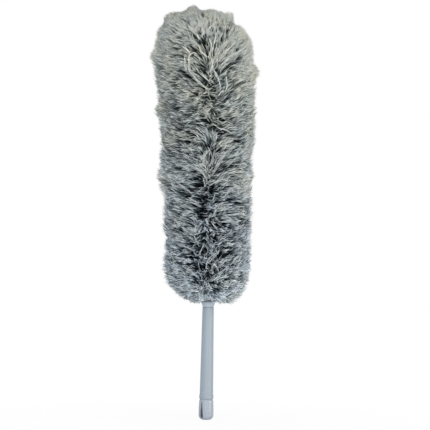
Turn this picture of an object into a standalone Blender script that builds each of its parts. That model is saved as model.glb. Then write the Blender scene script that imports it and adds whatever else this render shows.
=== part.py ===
"""Hand duster with a bendable head: a slim hollow handle, a fishbone strip with two
bend-holding wires, and a pull-off sleeve of long microfibre pile.

Metres, +Z up along the duster. The origin is the centre of the flat end of the end cap.
The head bends left and right about the Y axis at evenly spaced bend points.
"""

import math
import random

import bmesh
import bpy
import numpy as np
from mathutils import Matrix, Vector

# Fits
GAP = 0.0003                    # between pieces that seat on or in each other
SLIDE_FIT = 0.0008              # between the sleeve's tunnel and the core
OVERRUN = 0.0010                # how far a cut runs past the surface that it leaves

# End cap
CAP_LENGTH = 0.0226
CAP_BASE_DIAMETER = 0.0171      # at the top of the rounded edge
CAP_TOP_DIAMETER = 0.01595
CAP_EDGE_RADIUS = 0.0052
CAP_SIDE_BULGE = 0.0002         # how far the side stands out from a straight cone
CAP_WALL = 0.0017
CAP_SEAT_HEIGHT = 0.0012        # the narrow step that leaves a shadow line under the tube
CAP_SEAT_INSET = 0.0004
SPIGOT_LENGTH = 0.0120
SPIGOT_WALL = 0.0014
SPIGOT_CHAMFER = 0.0006
SLOT_WIDTH = 0.0042
SLOT_LENGTH = 0.0190
SLOT_START = 0.0022             # lowest point of the slot above the flat end
SLOT_APEX_RADIUS = 0.0005
SLOT_TURN_DEG = -39.0           # from the front towards the left

# Handle tube
TUBE_LENGTH = 0.1052
TUBE_LOW_DIAMETER = 0.0154
TUBE_TOP_DIAMETER = 0.0130
TUBE_WALL = 0.0016
LIP_DIAMETER = 0.0163
LIP_HEIGHT = 0.0040
LIP_SLOPE = 0.0012
TUBE_EDGE_RADIUS = 0.0004

# Neck collar
COLLAR_HEIGHT = 0.0062
COLLAR_DIAMETER = 0.0156
COLLAR_LOW_DIAMETER = 0.0129
COLLAR_LAND = 0.0018            # the straight rim above the collar's flare
COLLAR_FLARE_HEIGHT = 0.0036
COLLAR_BORE_DIAMETER = 0.0080

# Core section, shared by the anchor's boss, the ribs and the tip cap
CORE_WIDTH = 0.0160             # along Y
CORE_THICKNESS = 0.0050         # along X
BAND_WIDTH = 0.0072
BAND_THICKNESS = 0.0024
WIRE_DIAMETER = 0.0022
WIRE_OFFSET = 0.0058            # each wire's axis from the middle, along Y

# Core anchor
PLUG_LENGTH = 0.0220
PLUG_CHAMFER = 0.0008
STEM_DIAMETER = 0.0044          # joins the plug to the boss, thinner than the boss
STEM_DROP = 0.0010              # how far below the collar's top the stem starts
BOSS_HEIGHT = 0.0138
STRIP_SEAT_DEPTH = 0.0080
WIRE_SEAT_DEPTH = 0.0095

# Bend points
BEND_COUNT = 6
FIRST_BEND_RISE = 0.0221        # above the anchor's boss
LAST_BEND_SHARE = 5 / 6         # of a pitch, from the last bend to the tip cap
BEND_LIMIT_DEG = 30.0
BEND_RELIEF_DEG = 1.2           # extra slope on each end face beyond half the limit

# Fishbone strip
RIB_PITCH = 0.0070
RIB_HEIGHT = 0.0026
RIB_CHAMFER = 0.0010
RIB_NOTCH_FLOOR = 0.0043        # from the middle to the floor of each wire notch

# Tip cap
TIP_CAP_COVER = 0.0605          # how far the pile stands above the cap's lower face
TIP_CAP_HEIGHT = 0.0080
TIP_SEAT_DEPTH = 0.0058
TIP_CROWN_SHARE = 0.45
TIP_CROWN_DEG = 67.5            # where the rounding stops, short of a flat top

# Sleeve hem and elastic
HEM_HEIGHT = 0.0118
HEM_WALL = 0.0009
HEM_FOLD_DROP = 0.0040          # how much lower the turned-in edge ends
ELASTIC_DIAMETER = 0.0013

# Sleeve backing and pile
BACKING_WALL = 0.0018
BACKING_CROWN = 0.0044
BACKING_CUFF = 0.0045           # bare backing above the hem, so the lowest strands can droop
BACKING_HEADROOM = 0.0030       # straight backing above the tip cap, before it closes over
PILE_COLUMNS = 14
PILE_ROW_PITCH = 0.0105
PILE_RADIUS = 0.0615            # the head's widest radius, near the top
PILE_OVERHANG = 0.0182          # how far the lowest strands hang below their first row
PILE_TOP = 0.4775               # highest strands
PILE_LIFT = 0.0030              # how far the strands arch upward halfway out
PILE_DRIFT = -0.0150            # sideways lean of the pile at the top of the head
LEAN_POWER = 1.6                # above 1, most of the lean comes near the top
ROW_SHEAR_SHARE = 0.5           # of a column, from one row to the next
LENGTH_SPREAD_SHARE = 0.07
TIP_SPREAD_SHARE = 0.30
PILE_SEED = 41

# The pile's outline as shares: (of the pile's height, of its widest radius)
OUTLINE_SHARES = (
    (0.000, 0.45), (0.010, 0.58), (0.034, 0.73), (0.062, 0.82), (0.110, 0.875),
    (0.200, 0.880), (0.300, 0.875), (0.400, 0.890), (0.500, 0.920), (0.600, 0.950),
    (0.700, 0.980), (0.780, 1.000), (0.840, 0.980), (0.885, 0.925), (0.925, 0.830),
    (0.960, 0.660), (0.985, 0.400), (1.000, 0.000),
)
# Where strands end on the outline for where they start on the backing, both as shares
FAN_SHARES = ((0.00, 0.00), (0.09, 0.11), (0.47, 0.44), (0.80, 0.70), (0.94, 0.83), (1.00, 0.90))
DOME_FAN_SHARES = (0.955, 1.0)
# The ring of locks round the pole of the dome, as a share of the backing's width there
POLE_RING_SHARE = 0.5
# Each lock as shares: (of the way out, of its cell's width)
LOCK_SHARES = ((0.55, 0.84), (0.86, 0.50))

# Round pieces
ROUND_STEPS = 28
WIRE_STEPS = 10
CORNER_STEPS = 4
HEM_STEPS = 28
CORD_SIDES = 6

# Worked out from the sizes above
CAP_SEAT_TOP = CAP_LENGTH + CAP_SEAT_HEIGHT
TUBE_BOTTOM = CAP_SEAT_TOP + GAP
TUBE_TOP = TUBE_BOTTOM + TUBE_LENGTH
TUBE_LOW_BORE_RADIUS = TUBE_LOW_DIAMETER / 2 - TUBE_WALL
TUBE_TOP_BORE_RADIUS = TUBE_TOP_DIAMETER / 2 - TUBE_WALL
COLLAR_BOTTOM = TUBE_TOP + GAP
COLLAR_TOP = COLLAR_BOTTOM + COLLAR_HEIGHT
BOSS_BOTTOM = COLLAR_TOP + GAP
BOSS_TOP = BOSS_BOTTOM + BOSS_HEIGHT
TIP_CAP_START = PILE_TOP - TIP_CAP_COVER
FIRST_BEND_HEIGHT = BOSS_TOP + FIRST_BEND_RISE
BEND_PITCH = (TIP_CAP_START - FIRST_BEND_HEIGHT) / (BEND_COUNT - 1 + LAST_BEND_SHARE)
BEND_HEIGHTS = [FIRST_BEND_HEIGHT + index * BEND_PITCH for index in range(BEND_COUNT)]
END_SLOPE = math.tan(math.radians(BEND_LIMIT_DEG / 2 + BEND_RELIEF_DEG))
TIP_SEAT_TOP = TIP_CAP_START + TIP_SEAT_DEPTH
TIP_CAP_TOP = TIP_CAP_START + TIP_CAP_HEIGHT
WIRE_RADIUS = WIRE_DIAMETER / 2
TUNNEL_X = CORE_THICKNESS / 2 + SLIDE_FIT
TUNNEL_Y = CORE_WIDTH / 2 + SLIDE_FIT
HEM_BOTTOM = COLLAR_TOP + GAP
HEM_TOP = HEM_BOTTOM + HEM_HEIGHT
HEM_CHANNEL = ELASTIC_DIAMETER + 2 * GAP
BACKING_START = HEM_TOP + GAP
PILE_TOP_START = TIP_CAP_TOP + BACKING_HEADROOM
BACKING_TOP = PILE_TOP_START + BACKING_CROWN
PILE_START = BACKING_START + BACKING_CUFF
PILE_BOTTOM = PILE_START - PILE_OVERHANG
PILE_HEIGHT = PILE_TOP - PILE_BOTTOM


def clear_scene():
    for item in list(bpy.data.objects):
        bpy.data.objects.remove(item, do_unlink=True)


def make_material(name, color, roughness, metallic=0.0):
    material = bpy.data.materials.new(name)
    material.use_nodes = True
    shader = material.node_tree.nodes["Principled BSDF"]
    shader.inputs["Base Color"].default_value = (*color, 1.0)
    shader.inputs["Roughness"].default_value = roughness
    shader.inputs["Metallic"].default_value = metallic
    return material


def add_joint_empty(name, height, parent):
    """An empty on a joint's axis; the pieces that move about it are its children."""
    empty = bpy.data.objects.new(name, None)
    empty.empty_display_size = CORE_WIDTH
    bpy.context.collection.objects.link(empty)
    if parent is not None:
        empty.parent = parent
        height -= parent.matrix_world.translation.z
    empty.location = (0.0, 0.0, height)
    bpy.context.view_layer.update()
    return empty


def add_piece(name, mesh, material, joint=None, smooth_deg=40.0):
    """Place a mesh that was made in world coordinates under its joint's empty."""
    piece = bpy.data.objects.new(name, mesh)
    bpy.context.collection.objects.link(piece)
    if joint is not None:
        mesh.transform(Matrix.Translation(-joint.matrix_world.translation))
        piece.parent = joint
    mesh.materials.append(material)
    mesh.shade_smooth()
    mesh.set_sharp_from_angle(angle=math.radians(smooth_deg))
    return piece


def mesh_from_bmesh(name, shape):
    bmesh.ops.recalc_face_normals(shape, faces=shape.faces)
    mesh = bpy.data.meshes.new(name)
    shape.to_mesh(mesh)
    shape.free()
    return mesh


def apply_modifiers(piece):
    """Bake a helper's modifiers, and drop the helper."""
    bpy.context.view_layer.update()
    evaluated = piece.evaluated_get(bpy.context.evaluated_depsgraph_get())
    mesh = bpy.data.meshes.new_from_object(evaluated)
    bpy.data.objects.remove(piece, do_unlink=True)
    return mesh


def turned_mesh(name, profile, steps=ROUND_STEPS, closed=False):
    """Spin a profile of (radius, height) about the Z axis. It runs up the inside and down
    the outside; a closed profile makes a ring, an open one starts and ends on the axis."""
    shape = bmesh.new()
    verts = [shape.verts.new((radius, 0.0, height)) for radius, height in profile]
    edges = [shape.edges.new(pair) for pair in zip(verts, verts[1:])]
    if closed:
        edges.append(shape.edges.new((verts[-1], verts[0])))
    bmesh.ops.spin(
        shape, geom=verts + edges, cent=(0.0, 0.0, 0.0), axis=(0.0, 0.0, 1.0),
        angle=math.tau, steps=steps, use_merge=True,
    )
    bmesh.ops.remove_doubles(shape, verts=shape.verts, dist=GAP / 10)
    return mesh_from_bmesh(name, shape)


def prism_mesh(name, outline, axis, start, end):
    """Extrude a closed outline of 2-D points along one world axis, from start to end."""
    place = {
        "x": lambda u, v, w: (w, u, v),
        "y": lambda u, v, w: (u, w, v),
        "z": lambda u, v, w: (u, v, w),
    }[axis]
    shape = bmesh.new()
    verts = [shape.verts.new(place(u, v, start)) for u, v in outline]
    face = shape.faces.new(verts)
    grown = bmesh.ops.extrude_face_region(shape, geom=[face])
    moved = [item for item in grown["geom"] if isinstance(item, bmesh.types.BMVert)]
    shift = Vector(place(0.0, 0.0, end - start))
    bmesh.ops.translate(shape, verts=moved, vec=shift)
    return mesh_from_bmesh(name, shape)


def joined_mesh(name, meshes):
    """Put several meshes that don't touch into one."""
    shape = bmesh.new()
    for mesh in meshes:
        shape.from_mesh(mesh)
        bpy.data.meshes.remove(mesh)
    return mesh_from_bmesh(name, shape)


def combined_mesh(base, other, operation):
    """Boolean of two meshes in world coordinates."""
    holder = bpy.data.objects.new(base.name, base)
    tool = bpy.data.objects.new(other.name, other)
    tool.hide_render = True
    tool.display_type = "WIRE"
    for item in (holder, tool):
        bpy.context.collection.objects.link(item)
    boolean = holder.modifiers.new(operation.title(), "BOOLEAN")
    boolean.operation = operation
    boolean.solver = "EXACT"
    boolean.object = tool
    mesh = apply_modifiers(holder)
    bpy.data.objects.remove(tool, do_unlink=True)
    return mesh


def arc_points(center, radius, start_deg, end_deg, steps=CORNER_STEPS):
    """Points on an arc from one angle to another, both ends kept."""
    angles = np.radians(np.linspace(start_deg, end_deg, steps + 1))
    return [(center[0] + radius * math.cos(a), center[1] + radius * math.sin(a)) for a in angles]


def stadium_outline(thickness, width, steps=2 * CORNER_STEPS):
    """An outline with straight flanks along Y and half-round ends."""
    radius = thickness / 2
    reach = width / 2 - radius
    return arc_points((0.0, reach), radius, 0.0, 180.0, steps) + arc_points(
        (0.0, -reach), radius, 180.0, 360.0, steps
    )


def build_end_cap(material):
    base_radius = CAP_BASE_DIAMETER / 2
    top_radius = CAP_TOP_DIAMETER / 2
    seat_radius = top_radius - CAP_SEAT_INSET
    spigot_radius = TUBE_LOW_BORE_RADIUS - GAP
    bore_radius = spigot_radius - SPIGOT_WALL
    spigot_top = CAP_SEAT_TOP + SPIGOT_LENGTH
    edge_center = (base_radius - CAP_EDGE_RADIUS, CAP_EDGE_RADIUS)
    profile = [(0.0, CAP_WALL)]
    profile += arc_points(edge_center, CAP_EDGE_RADIUS - CAP_WALL, -90.0, 0.0)
    profile += [
        (top_radius - CAP_WALL, CAP_LENGTH - CAP_WALL),
        (bore_radius, CAP_LENGTH),
        (bore_radius, spigot_top),
        (spigot_radius - SPIGOT_CHAMFER, spigot_top),
        (spigot_radius, spigot_top - SPIGOT_CHAMFER),
        (spigot_radius, CAP_SEAT_TOP),
        (seat_radius, CAP_SEAT_TOP),
        (seat_radius, CAP_LENGTH),
    ]
    for way in np.linspace(0.0, 1.0, CORNER_STEPS, endpoint=False):
        radius = top_radius + (base_radius - top_radius) * way
        bulge = CAP_SIDE_BULGE * 4.0 * way * (1.0 - way)
        profile.append((radius + bulge, CAP_LENGTH + (CAP_EDGE_RADIUS - CAP_LENGTH) * way))
    profile += arc_points(edge_center, CAP_EDGE_RADIUS, 0.0, -90.0, 2 * CORNER_STEPS)
    profile.append((0.0, 0.0))
    mesh = turned_mesh("end_cap", profile)

    # A teardrop with its point up, cut right through both walls
    low_radius = SLOT_WIDTH / 2
    low_center = (0.0, SLOT_START + low_radius)
    high_center = (0.0, SLOT_START + SLOT_LENGTH - SLOT_APEX_RADIUS)
    outline = arc_points(high_center, SLOT_APEX_RADIUS, 180.0, 0.0)
    outline += arc_points(low_center, low_radius, 0.0, -180.0, 2 * CORNER_STEPS)
    reach = base_radius + OVERRUN
    cutter = prism_mesh("slot_cutter", outline, "y", -reach, reach)
    cutter.transform(Matrix.Rotation(math.radians(SLOT_TURN_DEG), 4, "Z"))
    return add_piece("end_cap", combined_mesh(mesh, cutter, "DIFFERENCE"), material)


def build_handle_tube(material):
    low_radius = TUBE_LOW_DIAMETER / 2
    top_radius = TUBE_TOP_DIAMETER / 2
    lip_radius = LIP_DIAMETER / 2
    lip_top = TUBE_BOTTOM + LIP_HEIGHT
    profile = [(TUBE_LOW_BORE_RADIUS, TUBE_BOTTOM), (TUBE_TOP_BORE_RADIUS, TUBE_TOP)]
    profile += arc_points(
        (top_radius - TUBE_EDGE_RADIUS, TUBE_TOP - TUBE_EDGE_RADIUS), TUBE_EDGE_RADIUS, 90.0, 0.0
    )
    profile += [(low_radius, lip_top + LIP_SLOPE), (lip_radius, lip_top)]
    profile += arc_points(
        (lip_radius - TUBE_EDGE_RADIUS, TUBE_BOTTOM + TUBE_EDGE_RADIUS), TUBE_EDGE_RADIUS, 0.0, -90.0
    )
    return add_piece("handle_tube", turned_mesh("handle_tube", profile, closed=True), material)


def build_neck_collar(material):
    bore = COLLAR_BORE_DIAMETER / 2
    low_radius = COLLAR_LOW_DIAMETER / 2
    radius = COLLAR_DIAMETER / 2
    land_bottom = COLLAR_TOP - COLLAR_LAND
    profile = [(bore, COLLAR_BOTTOM), (bore, COLLAR_TOP)]
    profile += arc_points(
        (radius - TUBE_EDGE_RADIUS, COLLAR_TOP - TUBE_EDGE_RADIUS), TUBE_EDGE_RADIUS, 90.0, 0.0
    )
    profile += [(radius, land_bottom), (low_radius, land_bottom - COLLAR_FLARE_HEIGHT)]
    profile.append((low_radius, COLLAR_BOTTOM))
    return add_piece("neck_collar", turned_mesh("neck_collar", profile, closed=True), material)


def seat_cutters(name, low, high):
    """Room for the strip's band and the two wires, between two heights."""
    wire_radius = WIRE_RADIUS + GAP
    band = (BAND_THICKNESS / 2 + GAP, BAND_WIDTH / 2 + GAP)
    outline = [(-band[0], -band[1]), (band[0], -band[1]), (band[0], band[1]), (-band[0], band[1])]
    cutters = [prism_mesh(name, outline, "z", low["band"], high["band"])]
    for side in (-1, 1):
        ring = arc_points((0.0, side * WIRE_OFFSET), wire_radius, 0.0, 360.0, WIRE_STEPS)[:-1]
        cutters.append(prism_mesh(name, ring, "z", low["wire"], high["wire"]))
    return joined_mesh(name, cutters)


def build_core_anchor(material):
    plug_radius = TUBE_TOP_BORE_RADIUS - GAP
    neck_radius = COLLAR_BORE_DIAMETER / 2 - GAP
    plug_bottom = TUBE_TOP - PLUG_LENGTH
    profile = [
        (0.0, BOSS_BOTTOM + STEM_DIAMETER / 2),
        (STEM_DIAMETER / 2, BOSS_BOTTOM + STEM_DIAMETER / 2),
        (STEM_DIAMETER / 2, COLLAR_TOP - STEM_DROP),
        (neck_radius, COLLAR_TOP - STEM_DROP),
        (neck_radius, TUBE_TOP),
        (plug_radius, TUBE_TOP),
        (plug_radius, plug_bottom + PLUG_CHAMFER),
        (plug_radius - PLUG_CHAMFER, plug_bottom),
        (0.0, plug_bottom),
    ]
    plug = turned_mesh("core_anchor", profile)
    outline = stadium_outline(CORE_THICKNESS, CORE_WIDTH)
    boss = prism_mesh("boss", outline, "z", BOSS_BOTTOM, BOSS_TOP)
    mesh = combined_mesh(plug, boss, "UNION")
    low = {"band": BOSS_TOP - STRIP_SEAT_DEPTH, "wire": BOSS_TOP - WIRE_SEAT_DEPTH}
    high = {"band": BOSS_TOP + OVERRUN, "wire": BOSS_TOP + OVERRUN}
    mesh = combined_mesh(mesh, seat_cutters("anchor_seats", low, high), "DIFFERENCE")
    return add_piece("core_anchor", mesh, material)


def strip_ends(index, seat_low, seat_high):
    """Bottom and top of one stretch of core, and which ends are at a bend point."""
    low_bend = index > 0
    high_bend = index < BEND_COUNT
    low = BEND_HEIGHTS[index - 1] + GAP / 2 if low_bend else seat_low
    high = BEND_HEIGHTS[index] - GAP / 2 if high_bend else seat_high
    return low, high, low_bend, high_bend


def rib_outline():
    """A fishbone rib seen along the strip: a bar with a notch at each end for a wire."""
    half_x = CORE_THICKNESS / 2
    half_y = CORE_WIDTH / 2
    notch = WIRE_RADIUS + GAP
    half = [
        (half_x, half_y - RIB_CHAMFER),
        (half_x - RIB_CHAMFER, half_y),
        (notch, half_y),
        (notch, RIB_NOTCH_FLOOR),
        (-notch, RIB_NOTCH_FLOOR),
        (-notch, half_y),
        (-half_x + RIB_CHAMFER, half_y),
        (-half_x, half_y - RIB_CHAMFER),
    ]
    return half + [(-x, -y) for x, y in half]


def build_spine_strip(index, material, joint):
    low, high, low_bend, high_bend = strip_ends(
        index, BOSS_TOP - STRIP_SEAT_DEPTH + GAP, TIP_SEAT_TOP - GAP
    )
    half = BAND_THICKNESS / 2
    drop = half * END_SLOPE
    outline = [(-half, low + drop * low_bend), (0.0, low), (half, low + drop * low_bend)]
    outline += [(half, high - drop * high_bend), (0.0, high), (-half, high - drop * high_bend)]
    name = f"spine_strip_{index}"
    band = prism_mesh(name, outline, "y", -BAND_WIDTH / 2, BAND_WIDTH / 2)

    rib_low = low if low_bend else BOSS_TOP + GAP
    rib_high = high if high_bend else TIP_CAP_START - GAP
    first = BEND_HEIGHTS[0] if index == 0 else BEND_HEIGHTS[index - 1]
    step = -RIB_PITCH if index == 0 else RIB_PITCH
    ribs = []
    middle = first + step / 2
    while rib_low <= middle - RIB_HEIGHT / 2 and middle + RIB_HEIGHT / 2 <= rib_high:
        bottom = middle - RIB_HEIGHT / 2
        ribs.append(prism_mesh("rib", rib_outline(), "z", bottom, bottom + RIB_HEIGHT))
        middle += step
    mesh = combined_mesh(band, joined_mesh("ribs", ribs), "UNION")
    return add_piece(name, mesh, material, joint)


def build_spine_wire(index, side, material, joint):
    low, high, low_bend, high_bend = strip_ends(
        index, BOSS_TOP - WIRE_SEAT_DEPTH + GAP, TIP_SEAT_TOP - GAP
    )
    drop = WIRE_RADIUS * END_SLOPE
    profile = [
        (0.0, high),
        (WIRE_RADIUS, high - drop * high_bend),
        (WIRE_RADIUS, low + drop * low_bend),
        (0.0, low),
    ]
    word = "front" if side < 0 else "back"
    name = f"spine_wire_{word}_{index}"
    mesh = turned_mesh(name, profile, WIRE_STEPS)
    mesh.transform(Matrix.Translation((0.0, side * WIRE_OFFSET, 0.0)))
    return add_piece(name, mesh, material, joint)


def oval_point(half_x, half_y, share):
    """The point a share of the way round an oval with straight flanks and half-round ends."""
    flank = half_y - half_x
    arc = math.pi * half_x
    run = (share % 1.0) * (4 * flank + 2 * arc)
    if run < flank:
        return half_x, run
    run -= flank
    if run < arc:
        return half_x * math.cos(run / half_x), flank + half_x * math.sin(run / half_x)
    run -= arc
    if run < 2 * flank:
        return -half_x, flank - run
    run -= 2 * flank
    if run < arc:
        return -half_x * math.cos(run / half_x), -flank - half_x * math.sin(run / half_x)
    return half_x, run - arc - flank


def oval_ring(shape, half_x, half_y, height, count, phase=0.0):
    """A ring of evenly spaced vertices on an oval, turned by a share of one column."""
    points = [oval_point(half_x, half_y, (column + phase) / count) for column in range(count)]
    return [shape.verts.new((x, y, height)) for x, y in points]


def bridge(shape, lower, upper):
    """Faces between two rings of equal length."""
    count = len(lower)
    for column in range(count):
        after = (column + 1) % count
        shape.faces.new((lower[column], lower[after], upper[after], upper[column]))


def bridge_tunnel(shape, outer, tunnel):
    """Flat faces between a slice's outer ring and its tunnel, which has twice the vertices."""
    count = len(outer)
    for column in range(count):
        after = (column + 1) % count
        inner = (tunnel[2 * after], tunnel[2 * column + 1], tunnel[2 * column])
        shape.faces.new((outer[column], outer[after], *inner))


def build_tip_cap(material, joint):
    half_x = CORE_THICKNESS / 2
    half_y = CORE_WIDTH / 2
    crown = TIP_CAP_HEIGHT * TIP_CROWN_SHARE
    outline = stadium_outline(CORE_THICKNESS, CORE_WIDTH)
    shape = bmesh.new()
    verts = [shape.verts.new((x, y, TIP_CAP_START)) for x, y in outline]
    low = verts
    levels = arc_points((0.0, 0.0), 1.0, 0.0, TIP_CROWN_DEG, CORNER_STEPS - 1)
    for inward, upward in levels:
        inset = (1.0 - inward) * half_x
        scale_x = (half_x - inset) / half_x
        scale_y = (half_y - inset) / half_y
        height = TIP_CAP_TOP - crown + crown * upward
        ring = [shape.verts.new((x * scale_x, y * scale_y, height)) for x, y in outline]
        bridge(shape, low, ring)
        low = ring
    shape.faces.new(reversed(verts))
    shape.faces.new(low)
    mesh = mesh_from_bmesh("tip_cap", shape)
    low_cut = {"band": TIP_CAP_START - OVERRUN, "wire": TIP_CAP_START - OVERRUN}
    high_cut = {"band": TIP_SEAT_TOP, "wire": TIP_SEAT_TOP}
    mesh = combined_mesh(mesh, seat_cutters("tip_seats", low_cut, high_cut), "DIFFERENCE")
    return add_piece("tip_cap", mesh, material, joint)


def build_hem_band(material, joint):
    """A folded hem: the fabric runs down, turns in, and comes part of the way back up."""
    inner = 0.0
    channel_in = HEM_WALL
    channel_out = HEM_WALL + HEM_CHANNEL
    outer = channel_out + HEM_WALL
    floor = HEM_BOTTOM + HEM_WALL
    turned_top = HEM_TOP - HEM_FOLD_DROP
    section = [
        (inner, HEM_BOTTOM + HEM_WALL / 2), (inner, turned_top), (channel_in, turned_top),
        (channel_in, floor), (channel_out, floor), (channel_out, HEM_TOP), (outer, HEM_TOP),
        (outer, HEM_BOTTOM + HEM_WALL / 2), (outer - HEM_WALL / 2, HEM_BOTTOM),
        (inner + HEM_WALL / 2, HEM_BOTTOM),
    ]
    shape = bmesh.new()
    rings = [
        oval_ring(shape, TUNNEL_X + out, TUNNEL_Y + out, height, HEM_STEPS)
        for out, height in section
    ]
    for low, high in zip(rings, rings[1:] + rings[:1]):
        bridge(shape, low, high)
    return add_piece("hem_band", mesh_from_bmesh("hem_band", shape), material, joint)


def build_elastic_cord(material, joint):
    """The elastic lies on the floor of the hem's fold, all the way round."""
    radius = ELASTIC_DIAMETER / 2
    out = HEM_WALL + HEM_CHANNEL / 2
    height = HEM_BOTTOM + HEM_WALL + GAP + radius
    section = arc_points((out, height), radius, 90.0, -270.0, CORD_SIDES)[:-1]
    shape = bmesh.new()
    rings = [
        oval_ring(shape, TUNNEL_X + across, TUNNEL_Y + across, level, HEM_STEPS)
        for across, level in section
    ]
    for low, high in zip(rings, rings[1:] + rings[:1]):
        bridge(shape, low, high)
    return add_piece("elastic_cord", mesh_from_bmesh("elastic_cord", shape), material, joint)


def outline_table():
    """The pile's outline, bottom to top: distance run along it, radius and height."""
    shares = np.array(OUTLINE_SHARES)
    heights = PILE_BOTTOM + shares[:, 0] * PILE_HEIGHT
    radii = shares[:, 1] * PILE_RADIUS
    steps = np.hypot(np.diff(heights), np.diff(radii))
    run = np.concatenate(([0.0], np.cumsum(steps)))
    return run / run[-1], radii, heights


def outline_point(share, angle, table):
    """The end of a strand on the pile's outline, with the pile's sideways lean."""
    run, radii, heights = table
    radius = float(np.interp(share, run, radii))
    height = float(np.interp(share, run, heights))
    lean = PILE_DRIFT * ((height - PILE_BOTTOM) / PILE_HEIGHT) ** LEAN_POWER
    return Vector((radius * math.cos(angle) + lean, radius * math.sin(angle), height))


def fan_share(height):
    """Where a strand that starts at this height on the backing ends along the outline."""
    start = (height - PILE_START) / (PILE_TOP_START - PILE_START)
    shares = np.array(FAN_SHARES)
    return float(np.interp(start, shares[:, 0], shares[:, 1]))


def lock_walls(shape, low, high):
    """Walls of one stretch of a lock. Neighbours that share an edge of backing split their
    facing walls along the same diagonal, so that the two lie parallel."""
    for corner in range(len(low)):
        after = (corner + 1) % len(low)
        if corner < 2:
            shape.faces.new((low[corner], low[after], high[after]))
            shape.faces.new((low[corner], high[after], high[corner]))
        else:
            shape.faces.new((low[corner], low[after], high[corner]))
            shape.faces.new((low[after], high[after], high[corner]))


def grow_lock(shape, base, tips, chance):
    """Grow one pointed lock of strands from a patch of backing. It stays inside the cell
    between the patch's corners and their tips, so no two locks cross."""
    corners = [vert.co.copy() for vert in base]
    count = len(corners)
    low = list(base)
    spread = 1.0 - LENGTH_SPREAD_SHARE * chance.random()
    for out, width in LOCK_SHARES:
        bow = Vector((0.0, 0.0, PILE_LIFT * 4.0 * out * (1.0 - out)))
        points = [start.lerp(end, out * spread) + bow for start, end in zip(corners, tips)]
        middle = sum(points, Vector()) / count
        ring = [shape.verts.new(middle.lerp(point, width)) for point in points]
        lock_walls(shape, low, ring)
        low = ring
    weights = [1.0 + TIP_SPREAD_SHARE * (chance.random() - 0.5) * 2.0 for _ in tips]
    center = sum(corners, Vector()) / count
    target = sum((tip * weight for tip, weight in zip(tips, weights)), Vector()) / sum(weights)
    apex = shape.verts.new(center.lerp(target, spread))
    for column in range(count):
        shape.faces.new((low[column], low[(column + 1) % count], apex))


def tunnel_ring(shape, height, phase):
    """A ring of the sleeve's tunnel, which clears the core all the way round."""
    return oval_ring(shape, TUNNEL_X, TUNNEL_Y, height, 2 * PILE_COLUMNS, 2 * phase)


def slice_rows(index):
    """Heights of the rows of locks on one slice of the sleeve."""
    low = PILE_START if index == 0 else BEND_HEIGHTS[index - 1] + GAP / 2
    high = BEND_HEIGHTS[index] - GAP / 2 if index < BEND_COUNT else PILE_TOP_START
    count = max(1, round((high - low) / PILE_ROW_PITCH))
    return list(np.linspace(low, high, count + 1))


def build_sleeve_pile(index, rows_below, table, material, joint):
    """A slice of the sleeve: a tube of backing whose outer side is a lattice of locks."""
    rows = slice_rows(index)
    outer_x = TUNNEL_X + BACKING_WALL
    outer_y = TUNNEL_Y + BACKING_WALL
    chance = random.Random(PILE_SEED + index)
    shape = bmesh.new()

    def tip_ring(share, phase):
        angles = [math.tau * (column + phase) / PILE_COLUMNS for column in range(PILE_COLUMNS)]
        return [outline_point(share, angle, table) for angle in angles]

    def grow_row(low, high, low_tips, high_tips):
        for column in range(PILE_COLUMNS):
            after = (column + 1) % PILE_COLUMNS
            base = (low[column], low[after], high[after], high[column])
            tips = (low_tips[column], low_tips[after], high_tips[after], high_tips[column])
            grow_lock(shape, base, tips, chance)

    rings = []
    tip_rings = []
    for row, height in enumerate(rows):
        phase = ROW_SHEAR_SHARE * (rows_below + row)
        rings.append(oval_ring(shape, outer_x, outer_y, height, PILE_COLUMNS, phase))
        tip_rings.append(tip_ring(fan_share(height), phase))
    for row in range(len(rows) - 1):
        grow_row(rings[row], rings[row + 1], tip_rings[row], tip_rings[row + 1])

    low_phase = ROW_SHEAR_SHARE * rows_below
    high_phase = low_phase + ROW_SHEAR_SHARE * (len(rows) - 1)
    low_ring = rings[0]
    if index == 0:
        low_ring = oval_ring(shape, outer_x, outer_y, BACKING_START, PILE_COLUMNS, low_phase)
        bridge(shape, low_ring, rings[0])
    tunnel_low = tunnel_ring(shape, low_ring[0].co.z, low_phase)
    bridge_tunnel(shape, low_ring, tunnel_low)
    turn = round(2 * (high_phase - low_phase)) % len(tunnel_low)
    tunnel_below = tunnel_low[turn:] + tunnel_low[:turn]
    if index < BEND_COUNT:
        tunnel_high = tunnel_ring(shape, rows[-1], high_phase)
        bridge_tunnel(shape, rings[-1], tunnel_high)
        bridge(shape, tunnel_high, tunnel_below)
        return finish_pile(index, shape, material, joint)

    # The top slice closes over the tip, inside and out
    crown_height = PILE_TOP_START + (BACKING_TOP - PILE_TOP_START) * (1.0 - POLE_RING_SHARE / 2)
    crown_phase = high_phase + ROW_SHEAR_SHARE
    crown = oval_ring(
        shape, outer_x * POLE_RING_SHARE, outer_y * POLE_RING_SHARE, crown_height, PILE_COLUMNS, crown_phase
    )
    crown_tips = tip_ring(DOME_FAN_SHARES[0], crown_phase)
    grow_row(rings[-1], crown, tip_rings[-1], crown_tips)
    pole = shape.verts.new((0.0, 0.0, BACKING_TOP))
    pole_tip = outline_point(DOME_FAN_SHARES[1], 0.0, table)
    for column in range(PILE_COLUMNS):
        after = (column + 1) % PILE_COLUMNS
        base = (crown[column], crown[after], pole)
        grow_lock(shape, base, (crown_tips[column], crown_tips[after], pole_tip), chance)
    tunnel_high = tunnel_ring(shape, TIP_CAP_TOP + SLIDE_FIT, high_phase)
    bridge(shape, tunnel_high, tunnel_below)
    shape.faces.new(tunnel_high)
    return finish_pile(index, shape, material, joint)


def finish_pile(index, shape, material, joint):
    name = f"sleeve_pile_{index}"
    return add_piece(name, mesh_from_bmesh(name, shape), material, joint, smooth_deg=75.0)


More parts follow.
